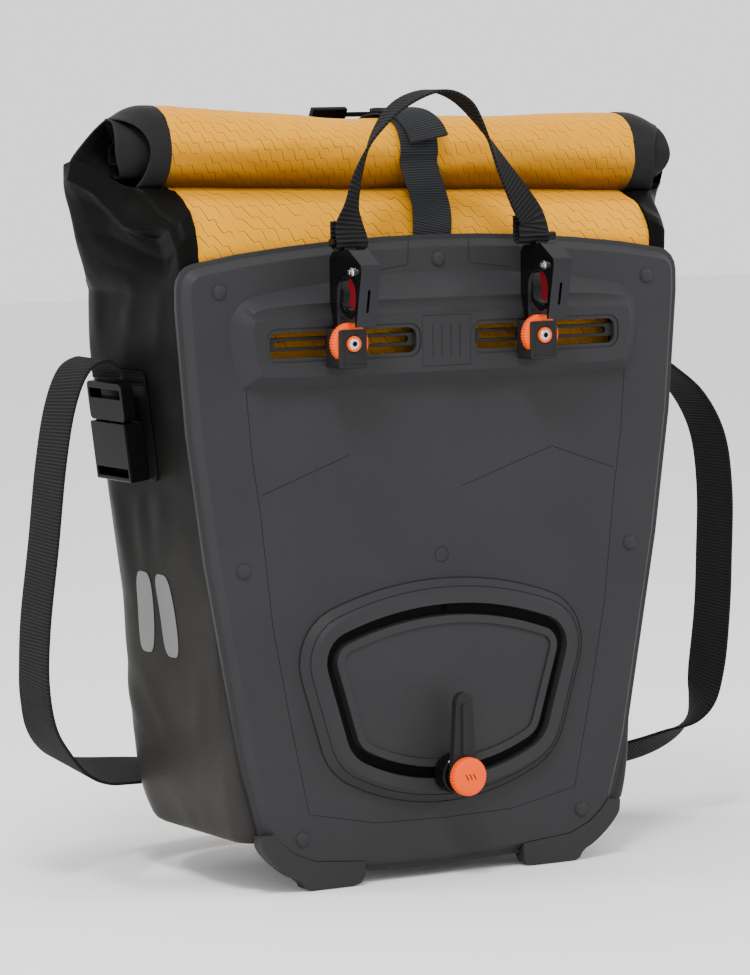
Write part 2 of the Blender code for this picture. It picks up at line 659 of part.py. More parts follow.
def wheel_room(x):
    return cylinder("wheel_room", WHEEL_R + 0.5, place(x, WHEEL_FRONT - 0.5, HOOK_Z),
                    place(x, WHEEL_BACK + 0.5, HOOK_Z), 32)


def clamp_block(side):
    x = HOOK_X[side]
    mesh = box("clamp_block", (x - BLOCK_HALF, x + BLOCK_HALF), (BLOCK_FRONT, BLOCK_BACK),
               (BLOCK_LOW, BLOCK_TOP))
    block = add_object(f"clamp_block_{side}", mesh, "hook_plastic")
    bevel(block, 0.8)
    boolean(block, "DIFFERENCE", wheel_room(x))
    boolean(block, "DIFFERENCE", cylinder("front_hole", 4.9, place(x, -30, HOOK_Z),
                                          place(x, -20, HOOK_Z)))
    boolean(block, "DIFFERENCE", cylinder("back_hole", SCREW_HOLE_R, place(x, -18, HOOK_Z),
                                          place(x, 0, HOOK_Z), 16))


def latch(side):
    """A claw that closes the jaw from behind, with a lever and a bar for the handle."""
    x = HOOK_X[side]
    outer = arc(JAW, 13.6, -114, 56, 12)
    lever = [(-16.2, 358), (-15.8, 371), (-21.5, 371), (-24.4, 357.6)]
    top = arc(JAW, 13.9, 84, 106, 2)
    boss = arc(PIVOT, 3.9, 40, 235, 8)
    inner = arc(JAW, JAW_R, 124, -114, 16)
    mesh = plates("latch", [outer + lever + top + boss + inner, circle(PIVOT, 1.9, 12)], "X",
                  x - LATCH_HALF, x + LATCH_HALF)
    claw = add_object(f"latch_{side}", mesh, "latch_plastic", place(x, *PIVOT))
    bar = cylinder("bar", 2.4, place(x - 11, *LATCH_BAR), place(x + 11, *LATCH_BAR), 16)
    boolean(claw, "UNION", bar)


def jaw_insert(side):
    x = HOOK_X[side]
    seat = arc((-24.5, 342), 6.6, 115, 215, 6)
    outline = [(-38.0, 336), (-38.4, 346), (-36, 349.2), (-29, 350.2)] + seat + [(-31, 336)]
    mesh = plates("jaw_insert", [outline[::-1]], "X", x - 4.6, x + 4.6)
    add_object(f"jaw_insert_{side}", mesh, "red_plastic")


def hook_fasteners(side):
    x = HOOK_X[side]
    pin = cylinder("pin", SCREW_R, place(x - 9.2, *PIVOT), place(x + 9.2, *PIVOT), 14)
    add_object(f"pivot_pin_{side}", pin, "steel")
    wheel = [(3.6, -25.9), (4.4, -25.9), (4.4, WHEEL_FRONT), (WHEEL_R - 0.8, WHEEL_FRONT),
             (WHEEL_R, WHEEL_FRONT + 0.8), (WHEEL_R, WHEEL_BACK - 0.8), (WHEEL_R - 0.8, WHEEL_BACK),
             (SCREW_HOLE_R, WHEEL_BACK), (SCREW_HOLE_R, -23.6), (3.6, -23.6)]
    turned(f"clamp_wheel_{side}", "orange_plastic", wheel, (x, HOOK_Z), 28)
    screw = [(0, -26.3), (2.8, -26.3), (3.2, -25.9), (3.2, -23.9), (SCREW_R, -23.9),
             (SCREW_R, 2.4), (0, 2.4)]
    turned(f"clamp_screw_{side}", "steel", screw, (x, HOOK_Z), 16)
    nut = rounded((x - 5, HOOK_Z - 3.6), (x + 5, HOOK_Z + 3.6), 0.8, 1)
    mesh = plates("nut", [nut, circle((x, HOOK_Z), SCREW_HOLE_R, 16)], "Y", RAIL_BACK + CLEAR, 2.2)
    add_object(f"clamp_nut_{side}", mesh, "steel")


# ---------------------------------------------------------------- lower hook
def sway_hook():
    """A slider in the groove, with a spacer, an arm and a knob on its stud."""
    pivot = place(0, 0, SWAY_Z)
    foot = box("slider", (-8, 8), (-6.7, -1.6), (SWAY_Z - 2.7, SWAY_Z + 2.7))
    slider = add_object("sway_slider", foot, "steel", pivot)
    stud = cylinder("stud", STUD_R, place(0, -27.5, SWAY_Z), place(0, -3, SWAY_Z), 16)
    boolean(slider, "UNION", stud)
    spacer = [(STUD_HOLE_R, -18.9), (10.7, -18.9), (11.5, -18.1), (11.5, -8), (10.8, -7.3),
              (STUD_HOLE_R, -7.3)]
    turned("sway_spacer", "latch_plastic", spacer, (0, SWAY_Z), 24)
    heel = arc((0, SWAY_Z), 8.6, 160, 380, 12)
    tip = arc((0, SWAY_Z + ARM_LENGTH - 5.6), 5.6, 0, 180, 6)
    mesh = plates("sway_arm", [heel + tip, circle((0, SWAY_Z), STUD_HOLE_R, 16)], "Y", -24, -19.2)
    arm = add_object("sway_arm", mesh, "hook_plastic", pivot)
    rib = plates("rib", [rounded((-2, SWAY_Z + 12), (2, SWAY_Z + 42), 1.5, 2)], "Y", -25.4, -22)
    boolean(arm, "UNION", rib)
    knob = [(0, -30.5), (9.6, -30.5), (11.2, -29.3), (11.2, -24.9), (10.6, -24.3),
            (STUD_HOLE_R, -24.3), (STUD_HOLE_R, -28.3), (0, -28.3)]
    turned("sway_knob", "orange_plastic", knob, (0, SWAY_Z), 28)


# ---------------------------------------------------------------- straps and buckles
def side_straps():
    half_low, half_high = bag_level(234)[0], bag_level(300)[0]
    lean = math.atan2(half_high - half_low, 66)
    half = bag_level(BUCKLE_Z)[0]
    for side, sign in (("left", -1), ("right", 1)):
        upward = (sign * math.sin(lean), 0, math.cos(lean))
        outward = (sign * math.cos(lean), 0, -math.sin(lean))
        across = Vector(upward).cross(Vector(outward))
        frame = local_frame(place(sign * half, BUCKLE_DEPTH, BUCKLE_Z), across, upward, outward)
        patch = flat_shape("patch", [rounded((-31, -31), (31, 33), 5)], 0.6, 1.7, frame)
        add_object(f"buckle_patch_{side}", patch, "black_fabric")
        buckle(f"strap_{side}", 1.0, frame)
    web("shoulder_strap", "webbing", SHOULDER_ROUTE, SHOULDER_WEB, 3)
    web("carry_handle", "webbing", HANDLE_ROUTE, HANDLE_WEB, 4)


def closure_buckle():
    angle = math.radians(-4)
    outward = Vector((0, math.cos(angle), math.sin(angle)))
    upward = Vector((0, -math.sin(angle), math.cos(angle)))
    centre = place(0, ROLL_DEPTH, ROLL_Z + 6) + outward * (ROLL_R + 2.2) * MM
    frame = local_frame(centre, upward.cross(outward), upward, outward)
    buckle("closure", 0.7, frame)


PARTS, CUTTERS = clear_scene()
back_plate()
corner_guards()
rivets()
rails()
bag_panels()
base_panel()
roll()
roll_ends()
closure_strap()
closure_buckle()
side_straps()
sway_hook()
for hook_side in HOOK_X:
    hook_housing(hook_side)
    clamp_block(hook_side)
    latch(hook_side)
    jaw_insert(hook_side)
    hook_fasteners(hook_side)
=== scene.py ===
"""Looks of the roll-top pannier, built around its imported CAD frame.

Numbers are millimetres unless a name ends in _M. X runs across the back plate, "depth"
runs from the plate's face into the bag, and Z is up from the floor.
"""
import json
import math

import bmesh
import bpy
import numpy as np
from mathutils import Matrix, Vector, noise
from mathutils.bvhtree import BVHTree


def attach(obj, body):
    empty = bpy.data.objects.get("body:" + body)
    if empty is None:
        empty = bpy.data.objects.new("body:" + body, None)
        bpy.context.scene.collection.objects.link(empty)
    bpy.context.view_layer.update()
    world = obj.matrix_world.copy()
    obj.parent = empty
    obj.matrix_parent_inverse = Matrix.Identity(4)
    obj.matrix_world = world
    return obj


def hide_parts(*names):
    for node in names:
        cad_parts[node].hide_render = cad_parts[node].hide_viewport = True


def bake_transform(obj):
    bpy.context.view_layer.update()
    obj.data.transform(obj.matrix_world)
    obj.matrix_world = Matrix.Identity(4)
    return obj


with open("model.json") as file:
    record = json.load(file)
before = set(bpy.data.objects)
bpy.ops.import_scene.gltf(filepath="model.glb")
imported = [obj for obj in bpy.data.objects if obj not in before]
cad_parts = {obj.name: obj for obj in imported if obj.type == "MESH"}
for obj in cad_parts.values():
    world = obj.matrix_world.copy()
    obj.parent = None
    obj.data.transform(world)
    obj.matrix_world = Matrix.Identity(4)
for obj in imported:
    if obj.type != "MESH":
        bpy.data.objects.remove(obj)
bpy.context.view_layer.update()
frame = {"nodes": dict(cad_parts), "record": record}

MM = 0.001
MID_DEPTH = 82.5
X_AXIS, DEPTH_AXIS = (1, 0, 0), (0, 1, 0)

# Bag: height, half width, back depth, front depth, front corner radius
LEVELS = [
    (30, 131, 9.2, 140, 36), (45, 134.5, 9.0, 153, 42), (60, 136, 8.8, 160, 46), (100, 138, 8.8, 165, 48),
    (155, 141, 8.8, 165, 48), (229, 151, 8.8, 165, 48), (302, 160, 8.8, 165, 48),
    (345, 164, 8.8, 158, 46), (372, 166, 9.4, 126, 34), (393, 166, 24, 92, 22),
    (396, 166, 38, 72, 10)]
BACK_SEAM = 14.0
BACK_CORNER = 6.0
BASE_PATCH = (26.0, 78.0, 112.0)
BASE_STEPS = [(1, 0), (0.93, 1.5), (0.77, 14), (0.5, 20.5), (0.2, 26), (0.06, 28.2)]
ROLL_DEPTH, ROLL_Z, ROLL_R, ROLL_HALF = 55.0, 420.0, 24.5, 155.8
ROLL_TILT = 4.5 / 165

HOOK_X = {"left": -71.0, "right": 56.0}
HOOK_Z = 314.0
LATCH_BAR = (-18.7, 371.0)
SWAY_Z = 61.5
BUCKLE_DEPTH, BUCKLE_Z = 90.0, 265.0

HANDLE_WEB, CLOSURE_WEB, SHOULDER_WEB = (20.0, 1.6), (25.0, 1.4), (38.0, 2.0)
SHOULDER_ROUTE = [
    (-168.3, 90, 293, DEPTH_AXIS), (-170, 90, 299, DEPTH_AXIS), (-179, 89, 304, DEPTH_AXIS),
    (-192, 87, 298, DEPTH_AXIS), (-202, 85, 278, DEPTH_AXIS), (-209, 84, 245, DEPTH_AXIS),
    (-214, 85, 200, DEPTH_AXIS), (-219, 87, 155, DEPTH_AXIS), (-220, 88, 122, DEPTH_AXIS),
    (-215, 93, 100, (-0.1, 0.95, 0.25)), (-203, 104, 82, (-0.35, 0.86, 0.37)),
    (-186, 121, 68, (-0.45, 0.8, 0.38)), (-164, 143, 58, (-0.5, 0.77, 0.37)),
    (-137, 166, 52, (-0.4, 0.85, 0.33)), (-98, 180, 48, (-0.25, 0.93, 0.25)),
    (-50, 188, 44, (-0.1, 0.98, 0.12)), (0, 190, 41, DEPTH_AXIS), (50, 189, 38, (0.1, 0.98, -0.15)),
    (95, 182, 35, (0.3, 0.9, -0.3)), (135, 168, 33, (0.45, 0.8, -0.38)),
    (172, 147, 34, (0.5, 0.76, -0.4)), (205, 123, 39, (0.55, 0.72, -0.42)),
    (229, 104, 52, (0.45, 0.8, -0.35)), (241, 93, 70, (0.15, 0.97, -0.15)),
    (245, 89, 95, DEPTH_AXIS), (248, 87, 130, DEPTH_AXIS), (249, 86, 165, DEPTH_AXIS),
    (249, 85, 205, DEPTH_AXIS), (244, 85, 240, DEPTH_AXIS), (230, 86, 266, DEPTH_AXIS),
    (210, 87, 283, DEPTH_AXIS), (189, 89, 296, DEPTH_AXIS), (176, 90, 301, DEPTH_AXIS),
    (170, 90, 298, DEPTH_AXIS), (168.3, 90, 293, DEPTH_AXIS)]


def place(x, depth, z):
    """A point in metres, from its millimetres across, into the bag and up."""
    return Vector((x, depth - MID_DEPTH, z)) * MM


# ---------------------------------------------------------------- materials
class Look:
    """A Principled material and the nodes that feed it."""

    def __init__(self, name, colour, roughness, **sockets):
        self.material = bpy.data.materials.new(name)
        self.material.use_nodes = True
        self.tree = self.material.node_tree
        self.shader = self.tree.nodes["Principled BSDF"]
        self.colour = (*colour, 1)
        self.feed("Base Color", self.colour)
        self.feed("Roughness", roughness)
        for socket, value in sockets.items():
            self.feed(socket.replace("_", " "), value)
        self.normal = None

    def feed(self, socket, value):
        socket = self.shader.inputs[socket] if isinstance(socket, str) else socket
        if isinstance(value, bpy.types.NodeSocket):
            self.tree.links.new(value, socket)
        else:
            socket.default_value = value

    def node(self, kind, inputs=(), **settings):
        made = self.tree.nodes.new(kind)
        for setting, value in settings.items():
            setattr(made, setting, value)
        for socket, value in dict(inputs).items():
            self.feed(made.inputs[socket], value)
        return made

    def coords(self, which="Object"):
        return self.node("ShaderNodeTexCoord").outputs[which]

    def parts(self, vector):
        return self.node("ShaderNodeSeparateXYZ", {0: vector}).outputs

    def scaled(self, vector, scale):
        return self.node("ShaderNodeVectorMath", {0: vector, 1: scale}, operation="MULTIPLY").outputs[0]

    def math(self, operation, *values):
        return self.node("ShaderNodeMath", enumerate(values), operation=operation).outputs[0]

    def noise(self, where, scale, detail=2.0):
        return self.node("ShaderNodeTexNoise", {"Vector": where, "Scale": scale, "Detail": detail}).outputs[0]

    def spread(self, value, low, high, to_low, to_high):
        inputs = {0: value, 1: low, 2: high, 3: to_low, 4: to_high}
        return self.node("ShaderNodeMapRange", inputs).outputs[0]

    def mix(self, share, first, second):
        made = self.node("ShaderNodeMix", data_type="RGBA")
        for socket, value in zip((0, 6, 7), (share, first, second)):
            self.feed(made.inputs[socket], value)
        return made.outputs[2]

    def tint(self, share, factor):
        """The base colour, brightened or darkened by a factor where share is 1."""
        base = self.shader.inputs["Base Color"]
        now = base.links[0].from_socket if base.links else self.colour
        other = tuple(min(c * factor, 1.0) for c in self.colour[:3]) + (1,)
        self.feed("Base Color", self.mix(share, now, other))

    def bump(self, height, strength, distance):
        inputs = {"Height": height, "Strength": strength, "Distance": distance * MM}
        if self.normal is not None:
            inputs["Normal"] = self.normal
        self.normal = self.node("ShaderNodeBump", inputs).outputs[0]
        self.feed("Normal", self.normal)


def moulded(name, colour, roughness, grain, size, specular):
    """Moulded plastic: a fine pebbled grain, faint mottling and slightly uneven gloss."""
    look = Look(name, colour, roughness, Specular_IOR_Level=specular)
    where = look.coords()
    broad = look.noise(where, 14)
    look.tint(look.spread(broad, 0.35, 0.65, 0.0, 1.0), 1.10)
    fine = look.noise(where, 1000 / size)
    look.tint(look.spread(fine, 0.62, 0.75, 0.0, 0.5), 1.35)
    look.feed("Roughness", look.spread(look.noise(where, 45), 0.3, 0.7, roughness - 0.05, roughness + 0.06))
    look.bump(fine, grain, 0.25)
    return look.material


def mustard_fabric():
    """Coated fabric embossed with diagonal lines that jog back at even steps, in millimetres."""
    slope, lane_width, period, kink = math.radians(44), 5.6, 8.6, 0.22
    jog_height = 0.44
    look = Look("mustard_fabric", (0.62, 0.262, 0.003), 0.5, Specular_IOR_Level=0.07)
    where = look.coords("UV")
    u, v, _ = look.parts(look.scaled(where, (1000, 1000, 0)))
    waver = look.math("MULTIPLY", look.math("SUBTRACT", look.noise(where, 60, 1), 0.5), 6.0)

    def combined(operation, u_share, v_share):
        return look.math(operation, look.math("MULTIPLY", u, u_share), look.math("MULTIPLY", v, v_share))

    down = combined("SUBTRACT", math.cos(slope), math.sin(slope))
    across = combined("ADD", math.sin(slope), math.cos(slope))
    lane = look.math("DIVIDE", look.math("ADD", across, waver), lane_width)
    phase = look.math("MULTIPLY", look.math("FLOOR", lane), 0.381)
    step = look.math("FRACT", look.math("ADD", look.math("DIVIDE", down, period), phase))
    jog = look.math("MINIMUM", look.math("DIVIDE", step, 1 - kink),
                    look.math("DIVIDE", look.math("SUBTRACT", 1.0, step), kink))
    shifted = look.math("MULTIPLY_ADD", jog, jog_height, -jog_height / 2)
    run = look.math("FRACT", look.math("ADD", lane, shifted))
    off = look.math("MULTIPLY", look.math("SUBTRACT", run, 0.5), lane_width)
    gate = look.spread(look.noise(where, 80, 1), 0.36, 0.46, 0.25, 1.0)
    # Painted light on the embossed lines: the dark line's darker tint is painted shade in its groove, and the
    # pale band beside it is a painted highlight; the dark mask also shapes the bump.
    dark = look.math("MULTIPLY", look.spread(look.math("ABSOLUTE", off), 0.14, 0.38, 1.0, 0.0), gate)
    painted_highlight = look.spread(look.math("ABSOLUTE", look.math("ADD", off, 0.5)), 0.1, 0.38, 1.0, 0.0)
    look.tint(look.spread(look.noise(where, 9), 0.35, 0.65, 0.0, 1.0), 1.10)
    look.tint(look.math("MULTIPLY", painted_highlight, look.math("MULTIPLY", gate, 0.7)), 1.45)
    look.tint(look.math("MULTIPLY", dark, 0.9), 0.34)
    # Painted shade: the fabric is painted darker where its surface faces down, as on the roll's underside.
    turned = look.parts(look.coords("Normal"))[2]
    look.tint(look.spread(turned, -0.8, 0.2, 0.95, 0.0), 0.12)
    grain = look.noise(look.scaled(where, (1, 1, 0)), 900)
    look.bump(grain, 0.10, 0.2)
    look.bump(look.math("SUBTRACT", look.math("MULTIPLY", run, 0.4), dark), 0.5, 0.5)
    look.feed("Roughness", look.spread(grain, 0.3, 0.7, 0.44, 0.58))
    return look.material


def black_tarp(name, colour, twill=False, shade=True):
    """Coated tarpaulin whose weave shows through, as level ribs or as a twill.

    With shade, its colour is painted darker with height: the dark top is painted shade under the roll, and
    the lighter lower part stands for a painted reflection of the floor.
    """
    twill_pitch, rib_pitch = 2.1, 1.5
    look = Look(name, colour, 0.40, Specular_IOR_Level=0.025)
    where = look.coords()
    x, y, z = look.parts(look.scaled(where, (1000, 1000, 1000)))
    waver = look.math("MULTIPLY", look.noise(where, 120), 1.4)
    sideways = look.math("ADD", x, y)
    slant = look.math("MULTIPLY_ADD", sideways, 1.0 if twill else 0.0, look.math("ADD", z, waver))
    pitch = twill_pitch if twill else rib_pitch
    level_ribs = look.math("SINE", look.math("MULTIPLY", slant, math.tau / pitch))
    falling = look.math("SUBTRACT", sideways, z)
    cross = look.math("SINE", look.math("MULTIPLY", falling, math.tau / twill_pitch))
    ribs = look.math("MULTIPLY", level_ribs, cross) if twill else level_ribs
    yarn = look.noise(look.scaled(where, (1, 1, 5)), 420, 1)
    look.tint(look.spread(look.noise(where, 16), 0.35, 0.65, 0.0, 1.0), 1.25)
    look.tint(look.spread(ribs, -0.6, 1.0, 0.0, 0.6), 2.6 if twill else 1.4)
    look.tint(look.spread(yarn, 0.55, 0.7, 0.0, 0.6), 1.5)
    if shade:
        # Painted shade: darker with height, towards the shade under the roll.
        look.tint(look.spread(z, 50, 270, 0.0, 0.94), 0.08)
    look.feed("Roughness", look.spread(look.noise(where, 30), 0.3, 0.7, 0.32, 0.46))
    look.bump(look.math("ADD", ribs, look.math("MULTIPLY", yarn, 1.5)), 0.3 if twill else 0.14, 0.18)
    return look.material


def ribbed_webbing(name, pitch, colour=(0.0075, 0.0075, 0.008), depth=0.5):
    """Woven webbing: ribs across and a crossing yarn; V runs along it."""
    look = Look(name, colour, 0.72, Specular_IOR_Level=0.05)
    where = look.coords("UV")
    u, v, _ = look.parts(look.scaled(where, (1000, 1000, 0)))
    rib = look.math("SINE", look.math("MULTIPLY", v, math.tau / pitch))
    yarn = look.math("SINE", look.math("MULTIPLY", look.math("MULTIPLY_ADD", v, 0.6, u), math.tau / 0.9))
    look.tint(look.spread(rib, -0.2, 0.9, 0.0, 1.0), 2.6)
    look.tint(look.spread(look.noise(where, 60), 0.4, 0.7, 0.0, 0.5), 1.5)
    look.bump(rib, 0.6, depth)
    look.bump(yarn, 0.2, 0.1)
    return look.material


def brushed(name, colour, roughness):
    look = Look(name, colour, roughness, Metallic=1.0)
    where = look.coords()
    streaks = look.noise(look.scaled(where, (1, 1, 14)), 260)
    look.feed("Roughness", look.spread(streaks, 0.3, 0.7, roughness - 0.06, roughness + 0.10))
    look.bump(streaks, 0.08, 0.05)
    return look.material


def reflective():
    """Grey retroreflective film with a fine honeycomb."""
    look = Look("reflective_film", (0.125, 0.123, 0.12), 0.45, Specular_IOR_Level=0.6)
    cells = look.node("ShaderNodeTexVoronoi", {"Vector": look.coords(), "Scale": 900.0}).outputs[0]
    look.tint(look.spread(cells, 0.2, 0.6, 0.0, 0.7), 0.8)
    look.bump(cells, 0.1, 0.1)
    return look.material


def housing_plastic():
    """Glossy black on a hook shell's cheeks; where the shell faces forwards its finish is rougher and its
    colour is painted lighter grey, as painted sheen.
    """
    look = Look("housing_plastic", (0.0025, 0.0025, 0.003), 0.14, Specular_IOR_Level=0.16)
    forwards = look.parts(look.coords("Normal"))[1]
    satin_and_lit_front = look.spread(forwards, -0.95, -0.55, 1.0, 0.0)
    fine = look.noise(look.coords(), 1500)
    # Painted sheen: the forward faces are painted lighter grey; their rougher finish is the shell's own.
    look.tint(satin_and_lit_front, 6.0)
    look.tint(look.spread(fine, 0.6, 0.75, 0.0, 0.4), 1.3)
    look.feed("Roughness", look.spread(satin_and_lit_front, 0.0, 1.0, 0.13, 0.42))
    look.bump(fine, 0.08, 0.2)
    return look.material


# colour, roughness, depth and size of the grain, specular level
MOULDED = {
    "plate_plastic": ((0.023, 0.023, 0.0245), 0.50, 0.5, 0.9, 0.12),
    "guard_rubber": ((0.022, 0.022, 0.023), 0.62, 0.35, 0.8, 0.12),
    "hook_plastic": ((0.012, 0.012, 0.013), 0.40, 0.12, 0.5, 0.14),
    "latch_plastic": ((0.003, 0.003, 0.0035), 0.14, 0.03, 0.6, 0.16),
    "orange_plastic": ((0.80, 0.082, 0.003), 0.38, 0.12, 0.5, 0.12),
    "red_plastic": ((0.10, 0.003, 0.006), 0.35, 0.10, 0.5, 0.1),
    # The next two looks are painted shade: dark strips and discs laid on moulded lines, a groove floor and a
    # screw recess.
    "line_shade": ((0.0125, 0.0125, 0.0135), 0.6, 0.1, 0.5, 0.05),
    "groove": ((0.005, 0.005, 0.005), 0.7, 0.1, 0.5, 0.03),
    "buckle_plastic": ((0.0035, 0.0035, 0.004), 0.2, 0.03, 0.6, 0.05),
    "stiffener": ((0.5, 0.5, 0.48), 0.6, 0.25, 0.55, 0.5)}
LOOKS = {name: moulded(name, *values) for name, values in MOULDED.items()}
LOOKS.update({
    "yellow_fabric": mustard_fabric(),
    "black_fabric": black_tarp("black_fabric", (0.026, 0.025, 0.0235)),
    "black_twill": black_tarp("black_twill", (0.0105, 0.0105, 0.011), twill=True, shade=False),
    "webbing": ribbed_webbing("webbing", 2.0),
    "handle_webbing": ribbed_webbing("handle_webbing", 2.6, depth=0.7),
    "closure_webbing": ribbed_webbing("closure_webbing", 1.6, (0.012, 0.0125, 0.0135), 0.3),
    "steel": brushed("steel", (0.62, 0.62, 0.61), 0.24),
    "housing_plastic": housing_plastic(),
    "reflective": reflective()})


# ---------------------------------------------------------------- mesh helpers
def finish_piece(obj, look, body="bag", nodes=(), smooth=40):
    """Material, shading, body and the CAD nodes that a piece stands for."""
    obj.data.materials.clear()
    obj.data.materials.append(LOOKS[look])
    obj.data.shade_smooth()
    if smooth:
        obj.data.set_sharp_from_angle(angle=math.radians(smooth))
    if body:
        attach(obj, body)
    if nodes:
        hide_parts(*nodes)
    return obj


def add_mesh(name, verts, faces, uvs=None):
    mesh = bpy.data.meshes.new(name)
    mesh.from_pydata([tuple(v) for v in verts], [], faces)
    if uvs is not None:
        layer = mesh.uv_layers.new(name="UVMap")
        corner = np.empty(len(mesh.loops), np.int32)
        mesh.loops.foreach_get("vertex_index", corner)
        layer.data.foreach_set("uv", np.asarray(uvs, np.float32)[corner].ravel())
    obj = bpy.data.objects.new(name, mesh)
    bpy.context.scene.collection.objects.link(obj)
    return obj


def fix_normals(obj):
    bm = bmesh.new()
    bm.from_mesh(obj.data)
    bmesh.ops.recalc_face_normals(bm, faces=bm.faces)
    bm.to_mesh(obj.data)
    bm.free()
    return obj


def grid(name, rows, around=False, caps=False, uvs=None):
    """A mesh through rows of points in metres; around joins each row's ends."""
    count = len(rows[0])
    verts = [point for row in rows for point in row]
    faces = []
    for r in range(len(rows) - 1):
        for c in range(count if around else count - 1):
            d = (c + 1) % count
            faces.append((r * count + c, r * count + d, (r + 1) * count + d, (r + 1) * count + c))
    if caps:
        faces.append(tuple(range(count))[::-1])
        faces.append(tuple(range((len(rows) - 1) * count, len(rows) * count)))
    return add_mesh(name, verts, faces, uvs)


def modifier(obj, kind, **settings):
    made = obj.modifiers.new(kind.lower(), kind)
    for setting, value in settings.items():
        setattr(made, setting, value)
    return made


def soften(obj, width, segments=2, angle=35):
    modifier(obj, "BEVEL", width=width * MM, segments=segments, limit_method="ANGLE",
             angle_limit=math.radians(angle), harden_normals=False)


def smoothed(points, steps, closed=False):
    """Points along a Catmull-Rom curve through the given ones."""
    points = [Vector(p) for p in points]
    count, result = len(points), []
    for i in range(count if closed else count - 1):
        picks = [(i + k) % count if closed else min(max(i + k, 0), count - 1) for k in (-1, 0, 1, 2)]
        a, b, c, d = (points[k] for k in picks)
        for k in range(steps):
            t = k / steps
            result.append(0.5 * (2 * b + (c - a) * t + (2 * a - 5 * b + 4 * c - d) * t ** 2
                                 + (3 * b - a - 3 * c + d) * t ** 3))
    return result if closed else result + [points[-1]]


def refined(node, look, width=0.4, segments=2, angle=35):
    """A copy of a CAD node with its edges rounded, standing for the node."""
    source = frame["nodes"][node]
    bm = bmesh.new()
    bm.from_mesh(source.data)
    bmesh.ops.remove_doubles(bm, verts=bm.verts, dist=1e-6)
    bmesh.ops.dissolve_limit(bm, angle_limit=math.radians(0.6), verts=bm.verts, edges=bm.edges)
    mesh = bpy.data.meshes.new(f"{node}_look")
    bm.to_mesh(mesh)
    bm.free()
    obj = bpy.data.objects.new(f"{node}_look", mesh)
    bpy.context.scene.collection.objects.link(obj)
    body = next(name for name, nodes in frame["record"]["behaviour"]["bodies"].items() if node in nodes)
    finish_piece(obj, look, body, (node,))
    if width:
        soften(obj, width, segments, angle)
        modifier(obj, "WEIGHTED_NORMAL", keep_sharp=False, weight=80)
    return obj


WEB_SECTION = [(1.0, 0.35), (0.985, 0.85), (0.95, 1.0), (0.5, 1.0), (0.0, 1.0), (-0.5, 1.0), (-0.95, 1.0),
               (-0.985, 0.85), (-1.0, 0.35), (-1.0, -0.35), (-0.985, -0.85), (-0.95, -1.0),
               (-0.5, -1.0), (0.0, -1.0), (0.5, -1.0), (0.95, -1.0), (0.985, -0.85), (1.0, -0.35)]


def ribbon_rows(route, size, steps):
    """Sections of flat webbing along a route of (x, depth, z, width direction), with their UVs."""
    centre = smoothed([p[:3] for p in route], steps)
    width = smoothed([p[3] for p in route], steps)
    rows, uvs, length = [], [], 0.0
    for i, point in enumerate(centre):
        run = (centre[min(i + 1, len(centre) - 1)] - centre[max(i - 1, 0)]).normalized()
        side = (width[i] - run * width[i].dot(run)).normalized()
        normal = run.cross(side)
        length += (point - centre[max(i - 1, 0)]).length
        rows.append([place(*(point + side * size[0] / 2 * a + normal * size[1] / 2 * b))
                     for a, b in WEB_SECTION])
        uvs.append([(a * size[0] / 2 * MM, length * MM) for a, _ in WEB_SECTION])
    return rows, uvs


def webbing_piece(name, rows, uvs, look, body, nodes):
    flat = [uv for row in uvs for uv in row]
    obj = fix_normals(grid(name, rows, around=True, caps=True, uvs=flat))
    return finish_piece(obj, look, body, nodes, 50)


def ribbon(name, route, size, look, steps=8, body="bag", nodes=()):
    return webbing_piece(name, *ribbon_rows(route, size, steps), look, body, nodes)


def ease(value, low, high):
    share = min(max((value - low) / (high - low), 0.0), 1.0)
    return share * share * (3 - 2 * share)


# ---------------------------------------------------------------- bag fabric
BACK_N, STRIP_N, CORNER_N, SIDE_N, ROUND_N, FRONT_N = 22, 2, 3, 17, 12, 16


def bag_level(z):
    """Half width, back depth, front depth and corner radius at a height."""
    def exact(height):
        for low, high in zip(LEVELS, LEVELS[1:]):
            if height <= high[0]:
                share = max((height - low[0]) / (high[0] - low[0]), 0)
                return [a + (b - a) * share for a, b in zip(low[1:], high[1:])]
        return list(LEVELS[-1][1:])
    reach = 7.0 * ease(z, 34, 60) * (1 - ease(z, 384, 396))
    return [sum(values) / 3 for values in zip(exact(z - reach), exact(z), exact(z + reach))]


def back_seam(z):
    """How far the coloured back ends from the bag's side: wider near the bottom."""
    return BACK_SEAM + 12 * min(max(0, (60 - z) / 30), 1)


def half_section(half, back, front, radius, corner, seam=BACK_SEAM):
    """The right half of a level section, from the middle of the back to the front."""
    points = [(k / BACK_N * (half - seam), back) for k in range(BACK_N)]
    strip = half - seam, half - corner
    points += [(strip[0] + (strip[1] - strip[0]) * k / STRIP_N, back) for k in range(STRIP_N)]
    for k in range(CORNER_N):
        angle = math.pi / 2 * k / CORNER_N
        points.append((half - corner + corner * math.sin(angle), back + corner - corner * math.cos(angle)))
    low, high = back + corner, front - radius
    points += [(half, low + (high - low) * k / SIDE_N) for k in range(SIDE_N)]
    for k in range(ROUND_N):
        angle = math.pi / 2 * k / ROUND_N
        points.append((half - radius + radius * math.cos(angle), front - radius + radius * math.sin(angle)))
    points += [((half - radius) * (1 - k / FRONT_N), front) for k in range(FRONT_N + 1)]
    return points


def whole_section(*measures):
    """A closed section, anticlockwise from the middle of the back."""
    right = half_section(*measures)
    return right + [(-x, depth) for x, depth in right[-2:0:-1]]


